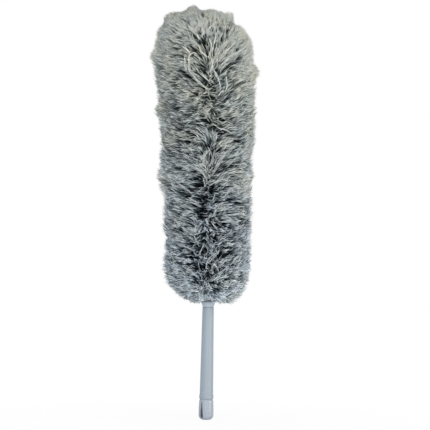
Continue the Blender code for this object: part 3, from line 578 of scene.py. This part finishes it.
def plan_strands(chance, clumps):
    """Control points of all strands. Strands grow in clumps that share a root and a tip."""
    # Tips of the clumps, spread over the outline, denser at its two ends
    z = HEIGHTS[1:]
    crowd = 1.0 + 0.7 * (1.0 - smooth((z - 0.14) / 0.035)) + 0.25 * smooth((z - 0.42) / 0.04)
    area = running_sum(crowd * (RADII[1:] + RADII[:-1]) / 2 * np.diff(RUN))
    order = (np.arange(clumps) + chance.random(clumps)) / clumps
    run = np.interp(order * area[-1], area, RUN)
    angle = chance.uniform(-math.pi, math.pi, clumps)
    height = np.interp(run, RUN, HEIGHTS)
    low, high = lower_part(height), smooth((height - 0.375) / 0.06)
    side = np.degrees(np.abs(angle))
    front = chance.random(clumps) > smooth((side - 76.0) / 28.0)  # the two mix at the sides
    point, normal = on_outline(run, angle), outline_normal(run, angle)

    # Which way each clump lies, how long and deep it is, and how pale, with painted light and shade on
    # patches of the front
    lie, hold = lie_of(point, normal, front)
    turn = chance.normal(0.0, 1.0, clumps) * (0.32 + 0.1 * low) * (1.0 - 0.2 * hold)
    turn += drift_field(chance, point, 19.0 * MM) * (0.26 + 0.5 * low) * (1.0 - 0.75 * hold)
    across = np.cross(normal, lie)
    lie = lie * np.cos(turn)[:, None] + across * np.sin(turn)[:, None]
    across = np.cross(normal, lie)
    reach = chance.uniform(4.5, 18.0, clumps) * (1.0 - 0.2 * low) * (1.0 - 0.15 * high) * MM
    depth = 1.0 - np.abs(chance.normal(0.0, 0.07, clumps)) * (1.0 - 0.68 * high)
    dips = np.clip(drift_field(chance, point, 15.0 * MM) - 0.5, 0.0, 1.5)
    depth -= dips * (0.026 + 0.05 * low - 0.026 * high)
    vivid = 1.0 + 0.2 * low - 0.68 * high
    tone = 0.5 + chance.normal(0.0, 0.13, clumps) * vivid + painted_light_and_shade(point, front)
    gather = chance.uniform(0.6, 1.3, clumps) * (1.0 - 0.35 * low)

    # Strands of each clump
    def each(values):
        return np.repeat(values, CLUMP_STRANDS, axis=0)

    count = clumps * CLUMP_STRANDS
    wide = chance.normal(0.0, 2.0 * MM, (count, 2))
    tight = wide * (0.45 * each(gather))[:, None] + chance.normal(0.0, 1.4 * MM, (count, 2))
    tip = each(point) + each(lie) * tight[:, :1] * 1.4 + each(across) * tight[:, 1:]
    start = each(point - lie * reach[:, None]) + each(lie) * wide[:, :1] + each(across) * wide[:, 1:]
    spread = 1.0 - np.abs(chance.normal(0.0, 0.03, count))
    tip = pressed(tip, each(depth) * spread * chance.uniform(0.985, 1.035, count))
    surfacing = pressed(start, each(depth) * chance.uniform(0.8, 0.93, count))
    middle = pressed(start * 0.5 + each(point) * 0.5, each(depth) * chance.uniform(0.93, 1.02, count))
    keep = sink_into_crevices(chance, surfacing, tip)
    # Sunk strands lie deeper in the pile, so the painted shade by depth is what darkens the crevices.
    surfacing, middle, tip = (pressed(v, height_in_pile(v) * keep) for v in (surfacing, middle, tip))
    root = root_of(start, chance.normal(0.0, 2.6 * MM, (count, 3)))
    tone = clamp(each(tone) + chance.normal(0.0, 0.3, count) * each(vivid))
    shoulder = root + (surfacing - root) * 0.8
    return root, shoulder, middle, tip, tone


def dome_table():
    """How far the outline is from the axis' ends, by the slope of the ray."""
    past = HEIGHTS - np.clip(HEIGHTS, AXIS_LOW, AXIS_HIGH)
    beyond = past != 0.0
    slopes, reach = np.arctan2(past, RADII)[beyond], np.hypot(past, RADII)[beyond]
    order = np.argsort(slopes)
    return slopes[order], reach[order]


DOME_SLOPES, DOME_REACH = dome_table()
STRAND_RINGS = 4
LOOSE_RINGS = 9
STRAND_SIDES = 3
STRAND_TAPER = ((0.0, 0.25, 0.8, 1.0), (0.75, 1.0, 0.95, 0.45))
STRAND_RADII = (0.26, 0.42)  # thinnest and thickest, in millimetres
LOOSE_RADII = (0.22, 0.32)


def tuft_shift(places):
    """How far the tufts and dips of the outline move points out from the head's axis."""
    shift = np.zeros(len(places))
    for across, down, radius, out in TUFTS:
        x, z = from_photo(across, down)
        gap = np.hypot(places[:, 0] - x, places[:, 2] - z) / (radius * PIXEL)
        depth = places[:, 1] / TUFT_DEPTH
        shift += out * MM * np.exp(-gap ** 2 - depth ** 2)
    return unit(ray_from_axis(places)) * shift[:, None]


def ray_from_axis(places):
    """From the nearest point of the head's axis to each place, with the head's lean taken out."""
    z = np.clip(places[:, 2], AXIS_LOW, AXIS_HIGH)
    radius = np.hypot(places[:, 0], places[:, 1])
    return np.stack((places[:, 0] - middle_at(places[:, 2], radius), places[:, 1], places[:, 2] - z), axis=-1)


def outline_reach(places, ray):
    """How far the outline is from the axis: along the ray on the dome and underside, else level."""
    slope = np.arctan2(ray[:, 2], np.hypot(ray[:, 0], ray[:, 1]))
    length = np.interp(slope, DOME_SLOPES, DOME_REACH)
    level = np.interp(places[:, 2], SIDE[:, 0], SIDE[:, 2])
    return np.where(np.abs(ray[:, 2]) > 1e-6, length, level)


def before_collar(places, size, top, fade, depth):
    """A size where the fringe hangs in front of the collar, falling to 0 away from there."""
    low = smooth((top - places[:, 2]) / fade)
    return size * np.exp(-(places[:, 0] / COLLAR_FRINGE_HALF) ** 4) * low * smooth(-places[:, 1] / depth)


def pressed(places, share):
    """Bring points onto the outline, drawn in to a share of its radius."""
    z = np.clip(places[:, 2], AXIS_LOW, AXIS_HIGH)
    ray = ray_from_axis(places)
    places = unit(ray) * (outline_reach(places, ray) * share)[:, None]
    radius = np.hypot(places[:, 0], places[:, 1])
    places[:, 2] += z
    places[:, 0] += middle_at(places[:, 2], radius)
    places += tuft_shift(places)
    places[:, 2] += before_collar(places, COLLAR_FRINGE_LIFT, UNDERSIDE_TOP, 20.0 * MM, 12.0 * MM)
    return places


def height_in_pile(places):
    """0 on the axis, 1 on the outline."""
    ray = ray_from_axis(places)
    return np.linalg.norm(ray, axis=-1) / outline_reach(places, ray)


def ring_places(count):
    """Where the rings of a strand are along it, from 0 to 1."""
    return (np.linspace(0.0, 1.0, count + 1) ** 0.85)[None, :, None]


def strand_lines(root, shoulder, middle, tip, chance):
    """Centre lines of strands, each with a slow wave along it."""
    t = ring_places(STRAND_RINGS)
    p = [v[:, None, :] for v in (root, shoulder, middle, tip)]
    line = (1 - t) ** 3 * p[0] + 3 * (1 - t) ** 2 * t * p[1] + 3 * (1 - t) * t ** 2 * p[2] + t ** 3 * p[3]
    size = chance.normal(0.0, 0.6 * MM, (len(root), 1, 3)) * (1.0 + 0.6 * lower_part(tip[:, None, 2:]))
    wave = size * np.sin(t * chance.uniform(4.0, 12.0, (len(root), 1, 1)))
    return line + wave * smooth(t * 2.0)


def curve_through(places, count):
    """Points along a smooth curve through the places, evenly apart."""
    ends = np.concatenate((2 * places[:1] - places[1:2], places, 2 * places[-1:] - places[-2:-1]))
    dense = []
    for a, b, c, d in zip(ends, ends[1:], ends[2:], ends[3:]):
        for t in np.linspace(0.0, 1.0, 8, endpoint=False):
            dense.append(0.5 * (2 * b + (c - a) * t + (2 * a - 5 * b + 4 * c - d) * t ** 2
                                + (3 * b - a - 3 * c + d) * t ** 3))
    dense = np.array(dense + [places[-1]])
    run = running_sum(np.linalg.norm(np.diff(dense, axis=0), axis=1))
    even = np.linspace(0.0, run[-1], count)
    return np.stack([np.interp(even, run, dense[:, k]) for k in range(dense.shape[1])], axis=-1)


def loose_lines(chance):
    """Centre lines of the loose strands, in pairs: up from the backing, then along their own path."""
    lines = []
    for path in LOOSE:
        path = np.reshape(path, (-1, 2))
        for slip in (0.1, 0.9):
            moved = path + chance.normal(0.0, slip, path.shape)
            lift = chance.uniform(0.985, 1.015)
            places = np.array([on_front(x, y, lift) for x, y in moved])
            foot = root_of(places[:1], chance.normal(0.0, 1.5 * MM, (1, 3)))
            lines.append(np.concatenate((foot, curve_through(places, LOOSE_RINGS))))
    return np.array(lines)


def bridge(first, second, steps):
    """Faces between two closed rings of points, by the number of each one's first point."""
    return [(first + k, first + (k + 1) % steps, second + (k + 1) % steps, second + k) for k in range(steps)]


def strand_mesh(line, tone, width, chance):
    """Closed three-sided strands that taper to a point, as arrays for one mesh."""
    count, ring_count = line.shape[0], line.shape[1] - 1
    root, tip, shoulder = line[:, 0], line[:, -1], line[:, ring_count // 2]
    along = unit(np.gradient(line, axis=1))
    binormal = unit(np.cross(tip - root, shoulder - root) + chance.normal(0.0, 1e-5, (count, 3)))[:, None, :]
    normal = unit(np.cross(binormal, along))
    binormal = np.cross(along, normal)
    taper = np.interp(ring_places(ring_count)[0, :, 0], *STRAND_TAPER)
    radius = (width[:, None] * taper[None, :])[:, :, None]
    spin = chance.uniform(0.0, TAU, count)
    rings = []
    for corner in range(STRAND_SIDES):
        angle = (spin + TAU * corner / STRAND_SIDES)[:, None, None]
        rings.append(line + radius * (np.cos(angle) * normal + np.sin(angle) * binormal))
    rings = np.stack(rings, axis=2)[:, :ring_count]  # strand, ring, corner, xyz
    verts = np.concatenate((rings.reshape(count, -1, 3), line[:, -1:, :]), axis=1)
    end = ring_count * STRAND_SIDES
    quads = sum((bridge(low, low + STRAND_SIDES, STRAND_SIDES)
                 for low in range(0, end - STRAND_SIDES, STRAND_SIDES)), [])
    tris = [(a, b, end) for a, b, _, _ in bridge(end - STRAND_SIDES, end, STRAND_SIDES)]
    tris.append(tuple(reversed(range(STRAND_SIDES))))
    shift = (np.arange(count) * (end + 1))[:, None, None]
    quads = (np.array(quads)[None] + shift).reshape(-1, 4)
    tris = (np.array(tris)[None] + shift).reshape(-1, 3)
    verts = verts.reshape(-1, 3)
    # Painted light on the fringe in front of the collar: its painted shade is lifted there.
    painted_light_at_collar = before_collar(verts, 0.16, COLLAR_FRINGE_TOP, 5.0 * MM, 8.0 * MM)
    return verts, quads, tris, height_in_pile(verts) + painted_light_at_collar, np.repeat(tone, end + 1)


def oval_ring(half, share, z, scale=1.0):
    """Points round an oval with straight flanks along Y and half-round ends, from the front."""
    flank = half[1] - half[0]
    arc = math.pi * half[0]
    side = arc + 2.0 * flank
    run = np.mod(np.asarray(share) * (2.0 * side) + arc / 2.0, 2.0 * side)
    turn = np.where(run <= side, clamp(run / arc) * math.pi - math.pi / 2.0,
                    clamp((run - side) / arc) * math.pi + math.pi / 2.0)
    along = np.clip(run - arc, 0.0, 2.0 * flank) - np.clip(run - side - arc, 0.0, 2.0 * flank)
    x, y = half[0] * np.sin(turn), -flank + along - half[0] * np.cos(turn)
    return np.stack((x * scale, y * scale, np.broadcast_to(z, x.shape)), axis=-1)


def backing_mesh(low, high, closed):
    """A stretch of the sleeve's knitted backing: a tube with a wall, closed over the tip at the top."""
    steps = BACKING_STEPS

    def ring(half, z, share=1.0):
        return oval_ring((half[0] + bend_room(z), half[1]), np.arange(steps) / steps, z, share)

    rings = [ring(BACKING_HALF, z) for z in np.linspace(low, min(high, BACKING_CLOSE), 5)]
    if closed:
        rings += [ring(BACKING_HALF, BACKING_CLOSE + (BACKING_TOP - BACKING_CLOSE) * share,
                       math.sqrt(1.0 - share ** 2)) for share in (0.35, 0.65, 0.88, 0.97)]
    outer = len(rings)
    inner_top = TUNNEL_TOP if closed else high
    rings += [ring(TUNNEL_HALF, z) for z in np.linspace(inner_top, low, 5)]
    verts = np.concatenate(rings)
    quads, tris = [], []
    for index in range(len(rings)):
        if not closed or index != outer - 1:
            quads += bridge(index * steps, (index + 1) % len(rings) * steps, steps)
    if closed:
        pole, ceiling = len(verts), len(verts) + 1
        verts = np.concatenate((verts, ((0.0, 0.0, BACKING_TOP), (0.0, 0.0, inner_top))))
        for a, b, c, d in bridge((outer - 1) * steps, outer * steps, steps):
            tris += [(a, b, pole), (ceiling, d, c)]
    zeros = np.zeros(len(verts))
    # The backing lies deep in the pile, so it takes the dark end of the painted shade.
    return verts, np.array(quads), np.array(tris, int).reshape(-1, 3), zeros + 0.12, zeros + 0.4


def add_object(name, data):
    thing = bpy.data.objects.new(name, data)
    bpy.context.scene.collection.objects.link(thing)
    return thing


def build_mesh(name, parts):
    """One mesh from several sets of arrays, with the three values that colour the strands."""
    starts = np.cumsum([0] + [len(part[0]) for part in parts])
    verts, shade_height, tone = (np.concatenate([part[k] for part in parts]) for k in (0, 3, 4))
    quads, tris = (np.concatenate([part[k] + start for part, start in zip(parts, starts)]) for k in (1, 2))
    mesh = bpy.data.meshes.new(name)
    mesh.vertices.add(len(verts))
    mesh.vertices.foreach_set("co", verts.astype(np.float32).ravel())
    loops = np.concatenate((quads.ravel(), tris.ravel()))
    mesh.loops.add(len(loops))
    mesh.loops.foreach_set("vertex_index", loops.astype(np.int32))
    sizes = np.concatenate((np.full(len(quads), 4), np.full(len(tris), 3)))
    mesh.polygons.add(len(sizes))
    mesh.polygons.foreach_set("loop_start", running_sum(sizes)[:-1].astype(np.int32))
    mesh.update(calc_edges=True)
    mesh.shade_smooth()
    for label, values in (("shade_height", shade_height), ("tone", tone), ("rise", verts[:, 2])):
        layer = mesh.attributes.new(label, "FLOAT", "POINT")
        layer.data.foreach_set("value", values.astype(np.float32))
    return add_object(name, mesh)


def build_pile(material):
    """The strands and their backing, one piece for each stretch of the sleeve."""
    chance = np.random.default_rng(SEED)
    root, shoulder, middle, tip, tone = plan_strands(chance, CLUMPS)
    width = chance.uniform(*STRAND_RADII, len(root)) * MM * 1.0
    lines = strand_lines(root, shoulder, middle, tip, chance)
    loose = loose_lines(chance)
    upper = smooth((loose[:, -1, 2] - 0.33) / 0.03)  # near the top they are paler and thicker
    loose_tone = chance.uniform(0.28, 0.48, len(loose)) - 0.06 + 0.44 * upper
    loose_width = chance.uniform(*LOOSE_RADII, len(loose)) * MM * (1.0 + 0.25 * upper)
    names = ["pile_fringe"] + [f"pile_{k + 1}" for k in range(BEND_COUNT)] + ["pile_crown", "pile_tip"]
    cuts = [CUFF_START, FRINGE_TOP] + [FIRST_BEND + (k + 0.5) * BEND_PITCH for k in range(BEND_COUNT)]
    cuts += [CROWN_TOP, BACKING_TOP]
    for k, (name, low, high) in enumerate(zip(names, cuts, cuts[1:])):
        first, last = k == 0, name == "pile_tip"
        parts = [backing_mesh(low, high, last)]
        for line, shade, thickness in ((lines, tone, width), (loose, loose_tone, loose_width)):
            start = line[:, 0, 2]
            chosen = ((start >= low) | first) & ((start < high) | last)
            if chosen.any():
                parts.append(strand_mesh(line[chosen], shade[chosen], thickness[chosen], chance))
        piece = build_mesh(name, parts)
        piece.data.materials.append(material)
        if first:
            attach(piece, "sleeve_0")
        elif k > BEND_COUNT:
            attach(piece, f"sleeve_{BEND_COUNT}")
        else:
            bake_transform(piece)
        if not first and not last:
            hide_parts(f"sleeve_pile_{k - 1}")


# === the hem
def closed_piece(name, verts, faces, material):
    mesh = bpy.data.meshes.new(name)
    mesh.from_pydata(np.array(verts).tolist(), [], faces)
    shape = bmesh.new()
    shape.from_mesh(mesh)
    bmesh.ops.recalc_face_normals(shape, faces=shape.faces)
    shape.to_mesh(mesh)
    shape.free()
    mesh.shade_smooth()
    mesh.materials.append(material)
    return add_object(name, mesh)


def ring_piece(name, rings, material):
    """A closed band from rings of equal length, joined first to last."""
    steps = len(rings[0])
    faces = []
    for index in range(len(rings)):
        faces += bridge(index * steps, (index + 1) % len(rings) * steps, steps)
    return closed_piece(name, np.concatenate(rings), faces, material)


def ring_off_tunnel(out, share, height):
    """A ring that stands off the sleeve's tunnel, and which way is out at each point of it."""
    ring, inner = (oval_ring((TUNNEL_HALF[0] + out - back, TUNNEL_HALF[1] + out - back), share, height)
                   for back in (0.0, LINING_STEP))
    return ring, unit(ring - inner)


def gathered_ring(out, height, share, ripple):
    """A ring of the hem, with the folds that the elastic draws in."""
    ring, away = ring_off_tunnel(out, share, height)
    gather = ripple * np.sin(TAU * HEM_GATHERS * share + 2.0 * np.sin(TAU * 5.0 * share))
    return ring + away * gather[:, None]


def build_hem(material, thread):
    """The folded hem: down the outside, round the fold and part of the way back up inside."""
    share = np.arange(HEM_STEPS) / HEM_STEPS
    turned = HEM_TOP - HEM_TURN_DROP
    bend, wall, low, seam = HEM_FOLD_RADIUS, HEM_WALL, HEM_BOTTOM, SEAM_HEIGHT
    inner, ledge = HEM_OUT - wall, low + wall
    section = [(wall, turned), (wall * 0.5, turned + 0.3 * MM), (0.0, turned), (0.0, low + 6.0 * MM),
               (0.0, low + bend)]
    section += [(bend - bend * math.cos(a), low + bend - bend * math.sin(a))
                for a in np.linspace(0.2, math.pi / 2, 5)]
    section += [(HEM_OUT - bend + bend * math.sin(a), low + bend - bend * math.cos(a))
                for a in np.linspace(0.0, math.pi / 2, 5)]
    section += [(HEM_OUT, low + 4.2 * MM), (HEM_OUT - 0.1 * MM, low + 5.2 * MM), (HEM_OUT - 0.45 * MM, seam),
                (HEM_OUT - 0.1 * MM, seam + 1.0 * MM), (HEM_OUT, HEM_TOP - 0.6 * MM),
                (HEM_OUT - 0.4 * MM, HEM_TOP), (inner, HEM_TOP), (inner, seam), (inner, ledge + 0.6 * MM),
                (inner - 0.5 * MM, ledge), (wall + 0.5 * MM, ledge), (wall, ledge + 0.6 * MM)]
    rings = []
    for out, height in section:
        outer = clamp((out - 1.6 * MM) / (1.6 * MM))
        fall = 1.0 - 0.6 * smooth((height - low - 3.0 * MM) / (6.0 * MM))
        rings.append(gathered_ring(out, height, share, HEM_RIPPLE * outer * fall))
    hem = ring_piece("hem", rings, material)
    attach(hem, "sleeve_0")
    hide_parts("hem_band")
    stitches = build_stitches(thread)
    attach(stitches, "sleeve_0")


def build_stitches(thread):
    """The row of stitches that closes the elastic's channel."""
    verts, faces = [], []
    count = len(STITCH_SHAPE)
    for stitch in range(STITCH_COUNT):
        places = (stitch + np.linspace(0.12, 0.88, count)) / STITCH_COUNT
        rise = 0.16 * MM * np.sin(np.linspace(0.0, math.pi, count))
        line = np.concatenate([
            gathered_ring(HEM_OUT - 0.36 * MM + d, SEAM_HEIGHT, np.array((place,)), HEM_RIPPLE * 0.5)
            for place, d in zip(places, rise)])
        side = unit(np.cross(unit(np.gradient(line, axis=0)), UP))
        first = len(verts)
        for at, out, radius in zip(line, side, STITCH_RADIUS * np.array(STITCH_SHAPE)):
            for corner in range(STITCH_SIDES):
                a = TAU * corner / STITCH_SIDES
                verts.append(at + radius * (math.cos(a) * out + math.sin(a) * UP))
        last = first + (count - 1) * STITCH_SIDES
        for low in range(first, last, STITCH_SIDES):
            faces += bridge(low, low + STITCH_SIDES, STITCH_SIDES)
        faces.append(tuple(reversed(range(first, first + STITCH_SIDES))))
        faces.append(tuple(range(last, last + STITCH_SIDES)))
    return closed_piece("hem_stitches", verts, faces, thread)


def build_elastic(material):
    """The braided elastic that lies in the hem's fold."""
    share = np.arange(ELASTIC_STEPS) / ELASTIC_STEPS
    height = HEM_BOTTOM + HEM_WALL + 0.25 * MM + ELASTIC_RADIUS
    ring, away = ring_off_tunnel(HEM_OUT / 2, share, height)
    plaits = TAU * ELASTIC_PLAITS * share
    rings = []
    for side in range(ELASTIC_SIDES):
        turn = TAU * side / ELASTIC_SIDES
        braid = np.cos(plaits + 2.0 * turn) * np.cos(plaits - 2.0 * turn)
        radius = ELASTIC_RADIUS * (0.93 + 0.07 * braid)
        rings.append(ring + away * (radius * math.cos(turn))[:, None]
                     + UP * (radius * math.sin(turn))[:, None])
    elastic = ring_piece("elastic", rings, material)
    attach(elastic, "sleeve_0")
    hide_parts("elastic_cord")


# === room, light and camera
def build_camera():
    data = bpy.data.cameras.new("camera")
    data.lens = LENS
    data.sensor_width = SENSOR
    data.clip_start = 0.05
    data.clip_end = 60.0
    camera = add_object("camera", data)
    camera.location = (VIEW_CENTRE[0], -PHOTO_HEIGHT * LENS / SENSOR, VIEW_CENTRE[1])
    camera.rotation_mode = "XYZ"
    camera.rotation_euler = (math.radians(90.0), -VIEW_ROLL, 0.0)
    bpy.context.scene.camera = camera


def build_floor():
    """Paper that takes the duster's shadow, and that the camera sees as nearly white."""
    mesh = bpy.data.meshes.new("floor")
    corners = ((-1, -1), (1, -1), (1, 1), (-1, 1))
    mesh.from_pydata([(x * FLOOR_HALF, y * FLOOR_HALF, FLOOR_LEVEL) for x, y in corners], [], [(0, 1, 2, 3)])
    material, tree = new_material("floor_paper")
    away = add_node(tree, "VectorMath", add_node(tree, "TexCoord").outputs["Object"])
    away.operation = "LENGTH"
    share = link_range(tree, away.outputs["Value"], *FLOOR_FADE, FLOOR_SHARE, 1.0)
    seen = link_math(tree, "MULTIPLY", add_node(tree, "LightPath").outputs["Is Camera Ray"], share)
    paper = add_node(tree, "BsdfDiffuse", (0.94, 0.94, 0.94))
    glow = add_node(tree, "Emission", (1.0, 1.0, 1.0))
    mix = add_node(tree, "MixShader", seen, paper.outputs[0], glow.outputs[0])
    add_node(tree, "OutputMaterial", mix.outputs[0])
    mesh.materials.append(material)
    add_object("floor", mesh)


# Lamps: name, place, size, power and colour
LAMPS = (
    ("key_light", (0.7, -1.5, 0.75), (0.55, 0.55), 5.4, (1.0, 0.93, 0.78)),
    ("low_light", (1.0, -0.66, 0.07), (0.22, 0.12), 2.2, (1.0, 0.95, 0.86)),
    ("front_light", (-0.1, -1.7, 0.6), (0.9, 0.9), 11.5, (0.965, 0.985, 1.0)),
)
LAMP_AIM = 0.26  # how high they point on the duster, or level if they are lower


def build_light():
    """A pale room, which looks plain white behind the duster, and the lamps."""
    world = bpy.data.worlds.new("studio")
    bpy.context.scene.world = world
    world.use_nodes = True
    tree = world.node_tree
    tree.nodes.clear()
    path = add_node(tree, "LightPath")
    direct = link_math(tree, "MAXIMUM", path.outputs["Is Camera Ray"], path.outputs["Is Glossy Ray"])
    through = link_math(tree, "MAXIMUM", direct, path.outputs["Is Transmission Ray"])
    room = add_node(tree, "Background", (0.96, 0.98, 1.0), 0.72)
    white = add_node(tree, "Background", (1.0, 1.0, 1.0), 1.0)
    mix = add_node(tree, "MixShader", through, room.outputs[0], white.outputs[0])
    add_node(tree, "OutputWorld", mix.outputs[0])
    for name, place, size, power, colour in LAMPS:
        data = bpy.data.lights.new(name, "AREA")
        data.shape = "RECTANGLE"
        data.size, data.size_y = size
        data.energy = power
        data.color = colour
        lamp = add_object(name, data)
        lamp.location = place
        aim = Vector((0.0, 0.0, min(LAMP_AIM, place[2]))) - Vector(place)
        lamp.rotation_euler = aim.to_track_quat("-Z", "Y").to_euler()


def dress_frame():
    """Give each CAD node that stays its finish."""
    tube = moulded_plastic("tube_plastic", (0.297, 0.352, 0.405), (0.275, 0.328, 0.382), 0.34)
    cap = moulded_plastic("cap_plastic", (0.342, 0.38, 0.446), (0.318, 0.356, 0.422), 0.2, 0.02)
    # The collar is painted much paler than the tube: painted light against the shadow that the pile casts on
    # it.
    collar = moulded_plastic("collar_plastic", (0.44, 0.505, 0.575), (0.41, 0.475, 0.545), 0.4)
    core = moulded_plastic("core_plastic", (0.3, 0.32, 0.35), (0.26, 0.28, 0.31), 0.45)
    wire = drawn_wire("core_wire")
    looks = {"end_cap": cap, "handle_tube": tube, "neck_collar": collar}
    for name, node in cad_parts.items():
        if name.startswith("sleeve_pile") or name in ("hem_band", "elastic_cord"):
            continue
        material = looks.get(name, wire if name.startswith("spine_wire") else core)
        node.data.materials.clear()
        node.data.materials.append(material)


def main():
    build_camera()
    build_floor()
    build_light()
    dress_frame()
    build_hem(woven_band("hem_knit", (0.055, 0.062, 0.072), (0.15, 0.165, 0.185)),
              woven_band("hem_thread", (0.21, 0.225, 0.245), (0.33, 0.35, 0.375)))
    build_elastic(woven_band("elastic_knit", (0.42, 0.42, 0.4), (0.64, 0.64, 0.62)))
    build_pile(pile_yarn("pile_yarn"))
    bpy.context.scene.view_settings.view_transform = "Standard"
    bpy.context.view_layer.update()


main()
